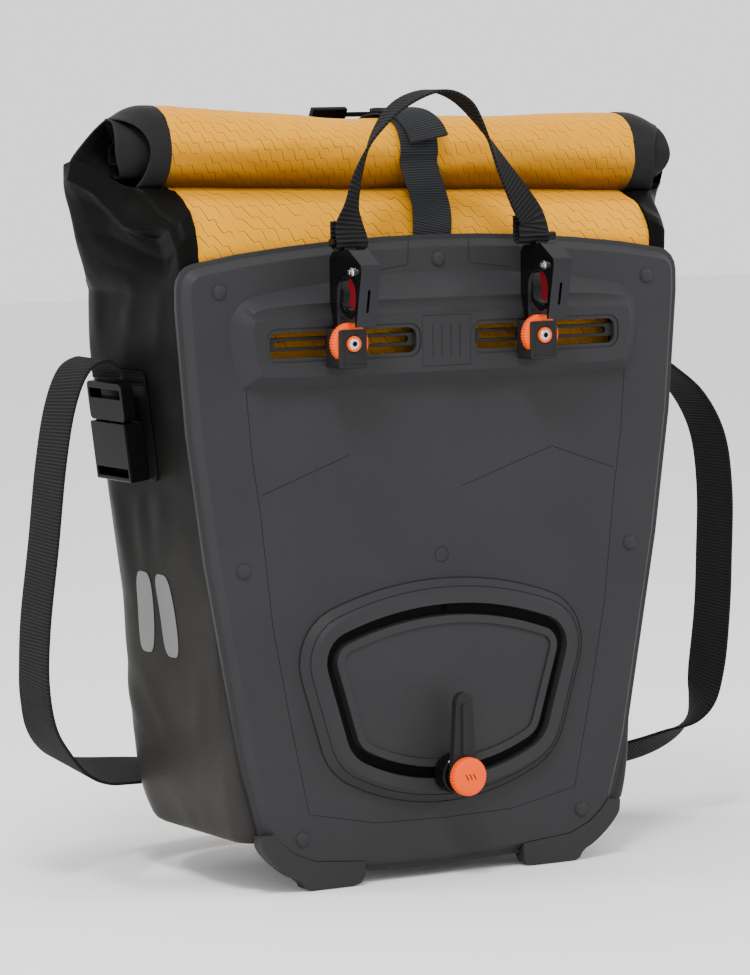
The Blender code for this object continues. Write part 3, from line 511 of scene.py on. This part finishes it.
def shell_rows():
    """Rings of (x, depth, z) from the middle of the base patch up to the neck."""
    half, back, front, radius = bag_level(30)
    patch_half, patch_back, patch_front = BASE_PATCH
    rows = []
    middle = (patch_back + patch_front) / 2
    for share in (0.3, 0.65):
        ring = whole_section(patch_half, patch_back, patch_front, 12, 12, 20)
        rows.append([(x * share, middle + (depth - middle) * share, 0.0) for x, depth in ring])
    for share, z in BASE_STEPS:
        measures = [low + (high - low) * share for low, high in
                    ((half, patch_half), (back, patch_back), (front, patch_front), (radius, 12),
                     (BACK_CORNER, 12), (26, 20))]
        rows.append([(x, depth, z) for x, depth in whole_section(*measures)])
    heights = [30 + 6 * k for k in range(60)] + [388, 392, 396]
    for z in heights:
        ring = whole_section(*bag_level(z), BACK_CORNER, back_seam(z))
        rows.append([(x, depth, lean(x, z)) for x, depth in ring])
    half, back, front, radius = bag_level(396)
    for z, inward in ((399, 8), (402, 12)):
        ring = whole_section(half, back + inward, front - inward * 0.5, radius, BACK_CORNER)
        rows.append([(x, depth, lean(x, z)) for x, depth in ring])
    return rows, len(rows) - len(heights) - 2


# The folded gusset above the side panel: rows from the roll down, each with a point for
# every one of these columns, counted from the coloured back round to the coloured front
FOLD_COLUMNS = (0, 2, 4, 8, 11, 14, 17, 20, 22, 26, 30, 34)
FOLD_ROWS = [
    [(152, 35, 401), (160, 36, 402), (170, 39, 403), (179, 43, 404), (186, 49, 409), (193, 57, 415),
     (199, 67, 419), (199, 82, 416), (191, 88, 411), (176, 86, 404), (160, 80, 400), (144, 76, 398)],
    [(152, 26, 396.5), (160, 23, 392), (167, 20, 386), (178, 46, 380), (183, 56, 390), (191, 62, 401),
     (201, 71, 408), (198, 84, 406), (190, 94, 398), (172, 104, 386), (156, 100, 390), (144, 91, 393)],
    [(152, 17, 390), (159, 13, 384), (165, 15, 379), (162, 40, 374), (172, 56, 378), (182, 66, 391),
     (194, 76, 399), (194, 88, 396), (187, 98, 388), (166, 112, 374), (150, 112, 376), (140, 104, 382)],
    [(151.7, 11, 381), (158, 9, 376), (164, 10, 370), (158, 34, 362), (163, 52, 366), (172, 70, 374),
     (181, 84, 378), (183, 98, 374), (178, 108, 368), (162, 126, 356), (146, 132, 356), (134, 122, 370)],
    [(151.2, 8.9, 366), (157.5, 8.8, 362), (162.5, 9.6, 357), (162, 32, 351), (163.5, 52, 352),
     (167, 72, 357), (171, 88, 359), (173, 102, 357), (170, 114, 352), (158, 136, 346), (138, 150, 346),
     (124, 145, 355)]]
FOLD_START_Z = 342


def eased_curve(knots, points, at, pull=0.07):
    """A point along a curve through points at rising knots; a small pull keeps its bends tight."""
    last = len(knots) - 1
    i = min(max(k for k in range(last + 1) if knots[k] <= at or k == 0), last - 1)
    span = knots[i + 1] - knots[i]
    t = (at - knots[i]) / span

    def slope(k):
        before, after = max(k - 1, 0), min(k + 1, last)
        return (points[after] - points[before]) / (knots[after] - knots[before]) * 2 * pull * span
    return ((2 * t ** 3 - 3 * t ** 2 + 1) * points[i] + (t ** 3 - 2 * t ** 2 + t) * slope(i)
            + (3 * t ** 2 - 2 * t ** 3) * points[i + 1] + (t ** 3 - t ** 2) * slope(i + 1))


def lean(x, z):
    """The roll and the neck under it stand a little higher on the left."""
    return z - x * ROLL_TILT * ease(z, 368, 394)


def folded_gusset(side, sign, ring):
    """The side's fabric drawn out to the end of the roll, with its flap, crease and ear."""
    rows = []
    for row in FOLD_ROWS:
        points = [Vector(point) for point in row]
        rows.append([eased_curve(FOLD_COLUMNS, points, column) for column in range(35)])
    for row in rows:
        for point in row:
            point.x *= sign
            if sign > 0:
                point.z -= 2 * point.x * ROLL_TILT * ease(point.z, 368, 394)
    rows.append([Vector((p.x / MM, p.y / MM + MID_DEPTH, p.z / MM)) for p in ring])
    knots, fine = list(range(len(rows))), []
    for k in range(6 * (len(rows) - 1) + 1):
        at = k / 6
        line = []
        for column in range(35):
            point = eased_curve(knots, [row[column] for row in rows], at)
            spot = point / 8 + Vector((sign * 7, 0, 0))
            pucker = 0.9 * math.sin(math.pi * at / knots[-1]) * noise.noise(spot)
            line.append(place(point.x + sign * pucker, point.y + 0.5 * pucker, point.z))
        fine.append(line)
    return grid(f"gusset_fold_{side}", fine)


def crease(point, start, end, width, height):
    """How far a point in a panel's own two measures is lifted by a crease line."""
    a, b, p = Vector(start), Vector(end), Vector(point)
    run = b - a
    share = min(max((p - a).dot(run) / run.length_squared, 0.0), 1.0)
    away = (p - a - run * share).length
    return height * math.exp(-(away / width) ** 2) * (0.4 + 0.6 * math.sin(math.pi * min(share + 0.15, 1)))


# start and end (depth, z), width and lift of the side panels' folds
SIDE_CREASES = [
    ((122, 225), (112, 150), 8, 1.5), ((88, 222), (96, 178), 6, -1.1), ((60, 232), (72, 196), 6, 0.9),
    ((150, 122), (64, 40), 7, 2.2), ((128, 84), (44, 44), 6, -1.6), ((142, 150), (146, 90), 7, -1.2),
    ((112, 118), (60, 62), 5, 1.0), ((118, 318), (108, 352), 6, 1.3), ((62, 345), (84, 312), 6, -1.4),
    ((28, 345), (46, 306), 5, 1.0), ((136, 300), (128, 340), 6, -1.1), ((40, 120), (44, 60), 8, 0.8)]
FRONT_CREASES = [
    ((-90, 360), (-20, 300), 12, 2.2), ((85, 352), (26, 290), 12, 2.2), ((-60, 120), (50, 60), 14, 1.6),
    ((70, 200), (95, 90), 12, -1.8), ((-95, 240), (-70, 120), 12, 1.8), ((0, 230), (12, 120), 10, -1.4)]


def cloth_settle(points, faces, pins):
    """Lets a fabric shell wrinkle under a light inner pressure, with its pinned parts held."""
    shell = add_mesh("cloth_shell", points, faces)
    group = shell.vertex_groups.new(name="pin")
    for index, weight in enumerate(pins):
        group.add([index], weight, "REPLACE")
    cloth = shell.modifiers.new("cloth", "CLOTH")
    settings = cloth.settings
    settings.quality = 6
    settings.mass = 0.3
    settings.tension_stiffness = settings.compression_stiffness = 22
    settings.shear_stiffness = 8
    settings.bending_stiffness = 1.6
    settings.use_pressure = True
    settings.uniform_pressure_force = 1.2
    settings.shrink_min = -0.022
    settings.vertex_group_mass = "pin"
    settings.effector_weights.gravity = 0.15
    cloth.collision_settings.use_collision = False
    scene = bpy.context.scene
    for number in range(1, 21):
        scene.frame_set(number)
    settled = shell.evaluated_get(bpy.context.evaluated_depsgraph_get()).to_mesh()
    result = [v.co.copy() for v in settled.vertices]
    bpy.data.objects.remove(shell)
    scene.frame_set(1)
    return result


def pin_weight(x, depth, z):
    """1 where the fabric is held: behind the plate, on the floor, at the neck and patches."""
    behind = (1 - ease(depth, 14, 34)) * (1 if z > 20 else 0)
    floor = 1 - ease(z, 2, 14)
    neck = ease(z, 360, 386)
    patch = 0.0
    if abs(x) > 130:
        across = abs(depth - BUCKLE_DEPTH) - 32
        away = abs(z - BUCKLE_Z) - 33
        patch = 1 - ease(max(across, away), 0, 12)
    strap = (1 - ease(abs(x), 14, 34)) * ease(z, 285, 300) * ease(depth, 90, 110)
    return max(behind, floor, neck, patch, strap)


def bag_fabric():
    rows, first_wall = shell_rows()
    count = len(rows[0])
    flat = [place(*point) for row in rows for point in row]
    faces = []
    for r in range(len(rows) - 1):
        for c in range(count):
            d = (c + 1) % count
            faces.append((r * count + c, r * count + d, (r + 1) * count + d, (r + 1) * count + c))
    flat.append(place(0, (BASE_PATCH[1] + BASE_PATCH[2]) / 2, 0))
    faces += [(c, len(flat) - 1, (c + 1) % count) for c in range(count)]
    design = [point for row in rows for point in row]
    pins = [pin_weight(*point) for point in design] + [1.0]
    settled = cloth_settle(flat, faces, pins)

    shaped = []
    for (x, depth, z), before, after, pin in zip(design, flat, settled, pins):
        move = after - before
        if move.length > 9 * MM:
            move *= 9 * MM / move.length
        point = before + move * (1 - pin)
        half, _, front, _ = bag_level(max(z, 30))
        side = ease(abs(x), half - 20, half - 4) * ease(depth, 16, 40)
        lift = sum(crease((depth if x < 0 else depth + 9, z), *fold) for fold in SIDE_CREASES)
        point.x += math.copysign(lift * side * (1 - pin), x) * MM
        face = ease(depth, front - 10, front - 1) * ease(z, 30, 60)
        lift = sum(crease((x, z), *fold) for fold in FRONT_CREASES)
        point.y += lift * face * (1 - pin) * MM
        shaped.append(point)

    # column spans of the ring: back, right side, front, left side
    edge = BACK_N
    front_start = BACK_N + STRIP_N + CORNER_N + SIDE_N + ROUND_N
    spans = {"back": (count - edge, count + edge), "front": (front_start, count - front_start),
             "right": (edge, front_start), "left": (count - front_start, count - edge)}
    around = [0.0]
    ring = rows[first_wall + 12]
    for a, b in zip(ring, ring[1:] + ring[:1]):
        around.append(around[-1] + math.dist(a, b))

    def panel(name, span, low):
        picks, uvs = [], []
        for r in range(low, len(rows)):
            picks.append([shaped[r * count + c % count] for c in range(span[0], span[1] + 1)])
            for c in range(span[0], span[1] + 1):
                along = around[c % count] + (around[-1] if c >= count else 0)
                uvs.append((along * MM, (rows[r][0][2]) * MM))
        return grid(name, picks, uvs=uvs)

    back = panel("back_fabric", spans["back"], first_wall)
    finish_piece(back, "yellow_fabric", "bag", ("back_panel",), 0)
    front = panel("front_fabric", spans["front"], first_wall)
    finish_piece(front, "yellow_fabric", "bag", ("front_panel",), 0)
    for piece in (back, front):
        modifier(piece, "SUBSURF", levels=1, render_levels=1)

    fold_row = first_wall + (FOLD_START_Z - 30) // 6
    low = fold_row * count
    right = [shaped[low + c].copy() for c in range(spans["right"][0], spans["right"][1] + 1)]
    left = [shaped[low + c].copy() for c in range(spans["left"][1], spans["left"][0] - 1, -1)]
    folds = [folded_gusset("right", 1, right), folded_gusset("left", -1, left)]
    wanted = set()
    for r in range(len(rows) - 1):
        for c in range(count):
            side = spans["right"][0] <= c < spans["right"][1] or spans["left"][0] <= c < spans["left"][1]
            if r < first_wall or (side and r < fold_row):
                wanted.add(r * count + c)
    black = [faces[k] for k in sorted(wanted)] + faces[-count:]
    if shaped[-1] is not settled[-1]:
        shaped.append(settled[-1])
    body = add_mesh("black_shell", shaped, black)
    bm = bmesh.new()
    bm.from_mesh(body.data)
    bmesh.ops.delete(bm, geom=[v for v in bm.verts if not v.link_faces], context="VERTS")
    for fold in folds:
        bm.from_mesh(fold.data)
        bpy.data.objects.remove(fold)
    bmesh.ops.remove_doubles(bm, verts=bm.verts, dist=0.02 * MM)
    bmesh.ops.recalc_face_normals(bm, faces=bm.faces)
    bm.to_mesh(body.data)
    bm.free()
    finish_piece(body, "black_fabric", "bag", ("side_panel_left", "side_panel_right", "base_panel"), 0)
    modifier(body, "SUBSURF", levels=1, render_levels=1)
    modifier(body, "SOLIDIFY", thickness=0.5 * MM, offset=0.0)
    reflector(body)


def reflector(body):
    """Two plain rounded bars of reflective film on the left side, lying on its fabric."""
    surface = BVHTree.FromObject(body, bpy.context.evaluated_depsgraph_get())
    verts, faces = [], []
    for middle, height, lean_in in ((72, 155, 0.10), (99, 155, -0.10)):
        start = len(verts)
        for ring in range(1, 8):
            for k in range(40):
                angle = math.tau * k / 40
                square = (abs(math.cos(angle)) ** 4 + abs(math.sin(angle)) ** 4) ** -0.25
                across = 9.5 * ring / 7 * square * math.cos(angle)
                up = 24 * ring / 7 * square * math.sin(angle)
                spot = place(-230, middle + across + lean_in * up, height + up)
                hit = surface.ray_cast(spot, Vector((1, 0, 0)))[0]
                verts.append((hit.x - 0.35 * MM, hit.y, hit.z))
        for ring in range(6):
            for k in range(40):
                a, b = start + ring * 40 + k, start + ring * 40 + (k + 1) % 40
                faces.append((a, b, b + 40, a + 40))
        faces.append(tuple(range(start, start + 40)))
    finish_piece(fix_normals(add_mesh("side_reflector", verts, faces)), "reflective", "bag", (), 0)


# ---------------------------------------------------------------- roll
def sag(x, rise):
    """How far the roll's top gives way under the strap; rise is the sine of the place's angle."""
    middle = 3.2 * (1 - ease(abs(x + 5), 70, 150)) + 3.0 * math.exp(-((x + 32) / 26) ** 2)
    return middle * max(rise, 0) ** 2


def roll_point(x, angle, radius):
    """A point on the roll, which leans up to the left and is pinched by the strap."""
    squeeze = 1.3 * math.exp(-(x / 16) ** 2)
    wave = 0.9 * noise.noise(Vector((x / 55, 2.1 * math.cos(angle), 2.1 * math.sin(angle))))
    fine = 0.25 * noise.noise(Vector((x / 14, 5 * math.cos(angle), 5 * math.sin(angle))))
    reach = radius - squeeze + wave + fine
    return place(x, ROLL_DEPTH + reach * math.cos(angle),
                 ROLL_Z - x * ROLL_TILT + reach * math.sin(angle) - sag(x, math.sin(angle)))


def roll_fabric():
    rows, uvs = [], []
    steps = 72
    for k in range(105):
        x = -ROLL_HALF + 2 * ROLL_HALF * k / 104
        ring = [math.tau * i / steps - math.pi / 2 for i in range(steps + 1)]
        rows.append([roll_point(x, angle, ROLL_R) for angle in ring])
        uvs += [(x * MM, 0.5 - angle * ROLL_R * MM) for angle in ring]
    obj = fix_normals(grid("roll_fabric", rows, uvs=uvs))
    finish_piece(obj, "yellow_fabric", "bag", ("roll_top",), 0)
    finish_piece(frame["nodes"]["roll_stiffener"], "stiffener", None)


def roll_sleeve(name, sign, radius, start, ends, look, nodes=(), centre=(0, 0), flatten=0.0):
    """A black layer past the coloured roll: a tube with a slanting rim.

    ends is the rim's x at the far side, top, near side and bottom.
    """
    steps, rows = 64, []
    for k in range(15):
        share = k / 14
        row = []
        for i in range(steps):
            angle = math.tau * i / steps
            quarter = angle / (math.pi / 2)
            low, high = int(quarter) % 4, (int(quarter) + 1) % 4
            blend = ease(quarter - int(quarter), 0, 1)
            rim = ends[low] * (1 - blend) + ends[high] * blend
            x = start + (rim - start) * share
            past = ease(x, 162, 201)
            reach = radius * (1 - flatten * past * (0.5 + 0.5 * math.cos(angle)))
            spot = Vector((x / 9, 2 * math.cos(angle), 2 * math.sin(angle) + sign))
            reach += 0.8 * share * noise.noise(spot)
            depth = ROLL_DEPTH + centre[0] * past + reach * math.cos(angle)
            z = ROLL_Z - sign * x * ROLL_TILT + centre[1] * past + reach * math.sin(angle)
            row.append(place(sign * x, depth, z))
        rows.append(row)
    obj = fix_normals(grid(name, rows, around=True))
    finish_piece(obj, look, "bag", nodes, 0)
    modifier(obj, "SOLIDIFY", thickness=1.3 * MM, offset=-1.0)
    modifier(obj, "SUBSURF", levels=1, render_levels=1)
    return obj


def roll_ends():
    for side, sign in (("left", -1), ("right", 1)):
        roll_sleeve(f"roll_wrap_{side}", sign, ROLL_R + 0.5, ROLL_HALF - 0.3, (201, 184, 169, 176),
                    "black_twill", (f"roll_end_{side}",), (0, -10), 0.35)
        roll_sleeve(f"roll_tongue_{side}", sign, 17.5, 150, (172, 184, 187, 178), "black_twill",
                    (), (2, 0), 0.1)
        roll_sleeve(f"roll_curl_{side}", sign, 8.0, 150, (180, 176, 170, 182), "black_fabric",
                    (), (0, -4), 0.1)


# ---------------------------------------------------------------- plate, hooks
def plate():
    refined("back_plate", "plate_plastic", 0.5, 2, 30)
    for side in ("left", "right"):
        refined(f"corner_guard_{side}", "guard_rubber", 0.5)
        refined(f"hook_rail_{side}", "hook_plastic", 0.35)
    for node in frame["nodes"]:
        if node.startswith("rivet_"):
            finish_piece(frame["nodes"][node], "plate_plastic", None)
    plate_details()


def strokes(name, depth, lines, width, look="line_shade", body="bag"):
    """Moulded lines on a face of the plate or a block, as narrow strips along polylines of (x, z); in the
    default dark look they are painted shade.
    """
    verts, faces = [], []
    for line in lines:
        points = [Vector(p) for p in line]
        closed = (points[0] - points[-1]).length < 0.01
        points = points[:-1] if closed else points
        count, start = len(points), len(verts)
        for i, point in enumerate(points):
            before = points[(i - 1) % count] if closed or i else point
            after = points[(i + 1) % count] if closed or i < count - 1 else point
            run = (after - before).normalized()
            normal = Vector((-run.y, run.x)) * width / 2
            verts += [place(*(point + normal * k), 0) for k in (1, -1)]
        for i in range(count if closed else count - 1):
            a, b = start + 2 * i, start + 2 * ((i + 1) % count)
            faces.append((a, a + 1, b + 1, b))
    flat = [place(v.x / MM, depth, v.y / MM + MID_DEPTH) for v in verts]
    return finish_piece(fix_normals(add_mesh(name, flat, faces)), look, body, (), 0)


def loop_outline(grow):
    """The lower hook's loop: two arcs and two leaning sides with rounded corners."""
    lean_angle = math.radians(16.7)
    normal = Vector((math.cos(lean_angle), -math.sin(lean_angle)))
    reach = normal.dot(Vector((82.5, 133.0))) + grow
    half = []
    for height, radius, fillet, middle in ((184.0, 126.0 + grow, 22.0 + grow, -90),
                                           (-40.0, 200.0 + grow, 18.0 + grow, 90)):
        centre = Vector((0, height))
        foot = centre + normal * (reach - fillet - normal.dot(centre))
        along = Vector((-normal.y, normal.x)) * (1 if middle > 0 else -1)
        hub = foot + along * math.sqrt((radius - fillet) ** 2 - (foot - centre).length ** 2)
        to_hub = math.degrees(math.atan2(hub.y - centre.y, hub.x - centre.x))
        side = math.degrees(math.atan2(normal.y, normal.x))
        big = [(centre, radius, middle + (to_hub - middle) * k / 16) for k in range(16)]
        small = [(hub, fillet, to_hub + (side - to_hub) * k / 10) for k in range(11)]
        arcs = big + small if middle < 0 else small[::-1] + big[::-1]
        for around, reach_out, degrees in arcs:
            turn = math.radians(degrees)
            half.append((around.x + reach_out * math.cos(turn), around.y + reach_out * math.sin(turn)))
    return half + [(-x, z) for x, z in half[::-1]]


def plate_details():
    """Faint moulded lines of the plate, the floor of its groove and a plain ribbed badge, all drawn as dark
    strips of painted shade.
    """
    edge = [(127, 290), (124, 252), (119, 219), (112, 154), (102, 101), (90, 44), (46, 35), (0, 34)]
    frame_line = [(-x, z) for x, z in edge] + edge[-2::-1]
    chevrons = [[(-118, 229), (-60, 249)], [(14, 227), (76, 247), (119, 232)]]
    pad = [(20, 371.5), (20.5, 358), (22, 356), (50, 352.6)]
    pads = [[(sign * x, z) for x, z in pad] for sign in (-1, 1)]
    ring = [(4.5 * math.cos(math.tau * k / 32), 188 + 4.5 * math.sin(math.tau * k / 32)) for k in range(33)]
    # Painted shade: dark strips along the moulded lines, here and for the loop and the badge below.
    strokes("plate_lines", -0.06, [frame_line] + chevrons + pads + [ring], 0.45)
    rim = loop_outline(14.2)
    step = loop_outline(9.5)
    island = loop_outline(-11.5)
    strokes("loop_foot_line", -0.5, [rim + rim[:1]], 0.7)
    strokes("loop_step_line", -4.9, [step + step[:1]], 0.6)
    strokes("loop_island_line", -5.9, [island + island[:1]], 0.5)
    outer, inner = loop_outline(-0.2), loop_outline(-6.8)
    middle = [((a[0] + b[0]) / 2, (a[1] + b[1]) / 2) for a, b in zip(outer, inner)]
    # Painted shade: a dark strip along the floor of the loop's groove.
    strokes("loop_groove_shade_strip", -1.4, [middle + middle[:1]], 6.4, "groove")
    badge = [[(-16, 298), (16, 298), (16, 327), (-16, 327), (-16, 298)]]
    badge += [[(x, 303), (x, 322)] for x in (-9, -3, 3, 9)]
    strokes("box_badge", -8.06, badge, 0.45)


def disc(name, centre, rings, look, body, nodes=(), teeth=0, bite=0.0, axis="depth"):
    """A turned disc from rings of (radius, offset along its axis), its widest rings knurled."""
    steps = teeth * 4 if teeth else 48
    widest = max(radius for radius, _ in rings)
    rows = []
    for radius, along in rings:
        row = []
        for k in range(steps):
            reach = radius - (bite * (k % 4 in (0, 1)) if radius > widest - 1.0 else 0)
            a, b = reach * math.cos(math.tau * k / steps), reach * math.sin(math.tau * k / steps)
            offset = (a, along, b) if axis == "depth" else (along, a, b)
            row.append(place(*(Vector(centre) + Vector(offset))))
        rows.append(row)
    obj = fix_normals(grid(name, rows, around=True, caps=True))
    return finish_piece(obj, look, body, nodes, 35)


def jaw_insert(side, x):
    """The red pad in a jaw, hollowed for the rack's tube and a little narrower than the shell."""
    turns = [math.radians(105 + 130 * k / 20) for k in range(21)]
    outline = [(-28.0 + 10.2 * math.cos(a), 342.0 + 10.2 * math.sin(a)) for a in turns]
    turns = [math.radians(225 - 105 * k / 14) for k in range(15)]
    outline += [(-24.5 + 6.7 * math.cos(a), 342.0 + 6.7 * math.sin(a)) for a in turns]
    rows = [[place(x + across, depth, z) for depth, z in outline] for across in (-5.6, 5.6)]
    obj = fix_normals(grid(f"jaw_insert_{side}_look", rows, around=True, caps=True))
    finish_piece(obj, "red_plastic", f"hook_{side}", (f"jaw_insert_{side}",), 40)
    soften(obj, 0.3, 2, 40)


SHELL_REACH, SHELL_SHARE = 9.0, 0.74


def narrow(obj, x):
    """Brings a hook's shell in towards its middle at x, leaving what sticks out past its cheeks."""
    for vertex in obj.data.vertices:
        across = vertex.co.x / MM - x
        if abs(across) < SHELL_REACH:
            vertex.co.x = (x + SHELL_SHARE * across) * MM


WHEEL_PROFILE = [(4.4, -25.9), (4.4, -22.9), (9.8, -22.7), (11.2, -22.0), (11.8, -21.2), (11.8, -17.6),
                 (11.0, -16.5), (2.2, -16.5)]
KNOB_PROFILE = [(8.2, -30.5), (9.4, -30.4), (10.7, -29.8), (11.2, -29.0), (11.2, -25.1), (10.6, -24.3),
                (2.8, -24.3)]
SCREW_HEAD = [(2.6, 0), (2.6, -0.8), (2.2, -1.1), (0.8, -1.15)]


def hooks():
    for side, x in HOOK_X.items():
        hook, wheel = f"hook_{side}", f"wheel_{side}"
        for piece in (refined(f"hook_housing_{side}", "housing_plastic", 1.3, 4),
                      refined(f"latch_{side}", "latch_plastic", 0.6, 3)):
            narrow(piece, x)
        refined(f"clamp_block_{side}", "hook_plastic", 0.3)
        narrow(refined(f"pivot_pin_{side}", "steel", 0.2), x)
        jaw_insert(side, x)
        for node in (f"clamp_nut_{side}", f"clamp_screw_{side}"):
            finish_piece(frame["nodes"][node], "steel", None)
        disc(f"clamp_wheel_{side}_look", (x, 0, HOOK_Z), WHEEL_PROFILE, "orange_plastic", wheel,
             (f"clamp_wheel_{side}",), 44, 0.45)
        disc(f"pivot_screw_{side}", (x - 6.4, -35.8, 354.9), SCREW_HEAD, "steel", hook, axis="x")
        # Painted shade: a thin dark disc in the clamp screw's recess.
        disc(f"clamp_screw_recess_shade_{side}", (x, 0, HOOK_Z), [(1.5, -26.38), (1.5, -26.2)], "groove", hook)
        # Painted shade: dark strips for the clamp block's edge line and the ledge at its foot.
        lines = [[(x - 6.4, 300.6), (x - 6.4, 321.4)], [(x - 8.4, 302.4), (x + 8.4, 302.4)]]
        strokes(f"clamp_block_lines_{side}", -25.05, lines, 0.35, "line_shade", hook)


def lower_hook():
    refined("sway_arm", "hook_plastic", 0.7, 3)
    for node, look in (("sway_slider", "steel"), ("sway_spacer", "latch_plastic")):
        finish_piece(frame["nodes"][node], look, None)
    disc("sway_knob_look", (0, 0, SWAY_Z), KNOB_PROFILE, "orange_plastic", "sway_knob",
         ("sway_knob",), 40, 0.4)
    marks = [[(x - 1.0, SWAY_Z + 1.8), (x + 0.8, SWAY_Z - 1.6)] for x in (-2.6, 0.0, 2.6)]
    strokes("sway_knob_marks", -30.56, marks, 0.7, "red_plastic", "sway_knob")


# ---------------------------------------------------------------- straps
def buckles():
    for prefix in ("strap_left", "strap_right", "closure"):
        for part in ("socket", "clip"):
            refined(f"{prefix}_{part}", "buckle_plastic", 1.1 if prefix != "closure" else 0.5, 3)
    for side in ("left", "right"):
        refined(f"buckle_patch_{side}", "black_fabric", 0.3)


def shoulder_strap():
    ribbon("shoulder_webbing", SHOULDER_ROUTE, SHOULDER_WEB, "webbing", 10, "shoulder_strap",
           ("shoulder_strap",))


def closure():
    lift = CLOSURE_WEB[1] / 2 + 0.4
    path = [(8.3, 366), (8.3, 371.5), (10.2, 378.5), (14.6, 386.5), (20.4, 395.2)]
    for k in range(17):
        angle = math.radians(196 - 234 * k / 16)
        reach = ROLL_R + lift
        path.append((ROLL_DEPTH + reach * math.cos(angle),
                     ROLL_Z + reach * math.sin(angle) - sag(5, math.sin(angle))))
    path += [(82.5, 398.9), (94.5, 394.6), (111, 385.2), (128.6, 373.8), (144, 360.5), (158.8, 347.5),
             (164.6, 334), (166.4, 318), (166.7, 300)]
    shifts = [0, 0.5, 2, 4.5, 5.8] + [5.5] * 6 + [4.5, 3.5, 2.5, 1.5]
    shifts += [0] * (len(path) - len(shifts))
    route = [(shift, depth, z, X_AXIS) for shift, (depth, z) in zip(shifts, path)]
    ribbon("closure_webbing", route, CLOSURE_WEB, "closure_webbing", 3, "bag", ("closure_strap",))
    # the free end, folded over the roll's near side, and the black end piece behind it
    tab = [(2, 62, 443.9, X_AXIS), (3.5, 52, 444.3, (1, -0.05, 0)), (5.5, 43, 442.6, (1, -0.1, 0)),
           (7.5, 35.5, 438.6, (1, -0.15, 0.03)), (9, 29.5, 433.4, (1, -0.2, 0.06)),
           (9.5, 25, 427.6, (1, -0.22, 0.08))]
    ribbon("closure_free_end", tab, (24, 2.6), "closure_webbing", 6)
    end = [(x, 86, 441.7, (0, -0.5, 0.85)) for x in (-12, -20, -28, -35)]
    ribbon("closure_keeper", end, (9, 3.5), "buckle_plastic", 4)


# the handle's middle: x, depth, z and width direction, from the left hook up and over to the right
HANDLE_ARCH = [
    (-68, -19.4, 392, (0.78, 0.62, 0)), (-63.5, -20, 410, (0.68, 0.73, 0.1)),
    (-52.5, -20, 431.5, (0.5, 0.85, 0.25)), (-36, -20, 448, (0.2, 0.97, 0.15)), (-14, -20, 455.4, DEPTH_AXIS),
    (4, -20, 450, DEPTH_AXIS), (17, -20, 435, (0.35, 0.93, 0)), (31, -20, 412, (0.72, 0.68, 0.2)),
    (43.5, -19.6, 393, (0.93, 0.35, 0.1))]


def handle():
    """One strap in four pieces."""
    bar_depth, bar_z = LATCH_BAR

    def loop(x, sign):
        width = (sign, 0, 0)
        points = [(x, -14.9, 383, width), (x, -14.9, 376, width)]
        for angle in (0, -45, -90, -135, -180, -215):
            turn = math.radians(angle)
            points.append((x, bar_depth + 3.6 * math.cos(turn), bar_z + 3.6 * math.sin(turn), width))
        return points + [(x, -19.4, 381, (sign * 0.97, 0.2, 0))]

    steps = 8
    route = loop(-69.5, 1) + HANDLE_ARCH + loop(51.5, 1)[::-1]
    rows, uvs = ribbon_rows(route, HANDLE_WEB, steps)
    cuts = [0, 9 * steps, 13 * steps, 17 * steps, len(rows) - 1]
    names = ("handle_loop_left", "handle_arch_left", "handle_arch_right", "handle_loop_right")
    pieces = []
    for name, start, end in zip(names, cuts, cuts[1:]):
        nodes = ("carry_handle",) if name == "handle_loop_left" else ()
        stretch = slice(start, end + 1)
        pieces.append(webbing_piece(name, rows[stretch], uvs[stretch], "handle_webbing", None, nodes))
    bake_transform(pieces[0])
    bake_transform(pieces[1])
    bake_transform(pieces[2])
    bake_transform(pieces[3])


# ---------------------------------------------------------------- stage, light, camera
def studio():
    corners = [(-6, -6, -0.0005), (6, -6, -0.0005), (6, 6, -0.0005), (-6, 6, -0.0005)]
    floor = add_mesh("floor", corners, [(0, 1, 2, 3)])
    paper = Look("floor_paper", (0.86, 0.86, 0.86), 0.8)
    paper.bump(paper.noise(paper.coords(), 30), 0.02, 0.2)
    floor.data.materials.append(paper.material)
    world = bpy.data.worlds.new("studio")
    bpy.context.scene.world = world
    world.use_nodes = True
    sky = world.node_tree.nodes["Background"]
    sky.inputs[0].default_value = (1, 1, 1, 1)
    sky.inputs[1].default_value = 1.45
    lamps = [((-0.8, -1.1, 2.0), 0.45, 34), ((1.5, -1.0, 1.3), 0.35, 9), ((-1.8, -0.1, 0.45), 0.5, 7),
             ((-1.0, 0.2, 1.8), 0.25, 13)]
    for number, (spot, size, power) in enumerate(lamps):
        lamp = bpy.data.lights.new(f"softbox_{number}", "AREA")
        lamp.size, lamp.energy = size, power
        holder = bpy.data.objects.new(f"softbox_{number}", lamp)
        bpy.context.scene.collection.objects.link(holder)
        holder.location = spot
        holder.rotation_euler = (Vector((0, 0, 0.22)) - Vector(spot)).to_track_quat("-Z", "Y").to_euler()


def camera():
    azimuth, elevation, roll = (math.radians(v) for v in (-30, 5.34, -0.7))
    back = Vector((math.sin(azimuth) * math.cos(elevation), -math.cos(azimuth) * math.cos(elevation),
                   math.sin(elevation)))
    level = (-back).cross(Vector((0, 0, 1))).normalized()
    upward = level.cross(-back)
    right = math.cos(roll) * level + math.sin(roll) * upward
    up = -math.sin(roll) * level + math.cos(roll) * upward
    lens = bpy.data.cameras.new("camera")
    lens.sensor_fit = "VERTICAL"
    lens.sensor_height = 36
    lens.lens = 165.4
    holder = bpy.data.objects.new("camera", lens)
    bpy.context.scene.collection.objects.link(holder)
    turn = Matrix((right, up, back)).transposed().to_4x4()
    holder.matrix_world = Matrix.Translation(Vector((-0.044, -0.0825, 0.2293)) + back * 2.567) @ turn
    bpy.context.scene.camera = holder


camera()
studio()
bag_fabric()
roll_fabric()
roll_ends()
plate()
hooks()
lower_hook()
buckles()
shoulder_strap()
closure()
handle()
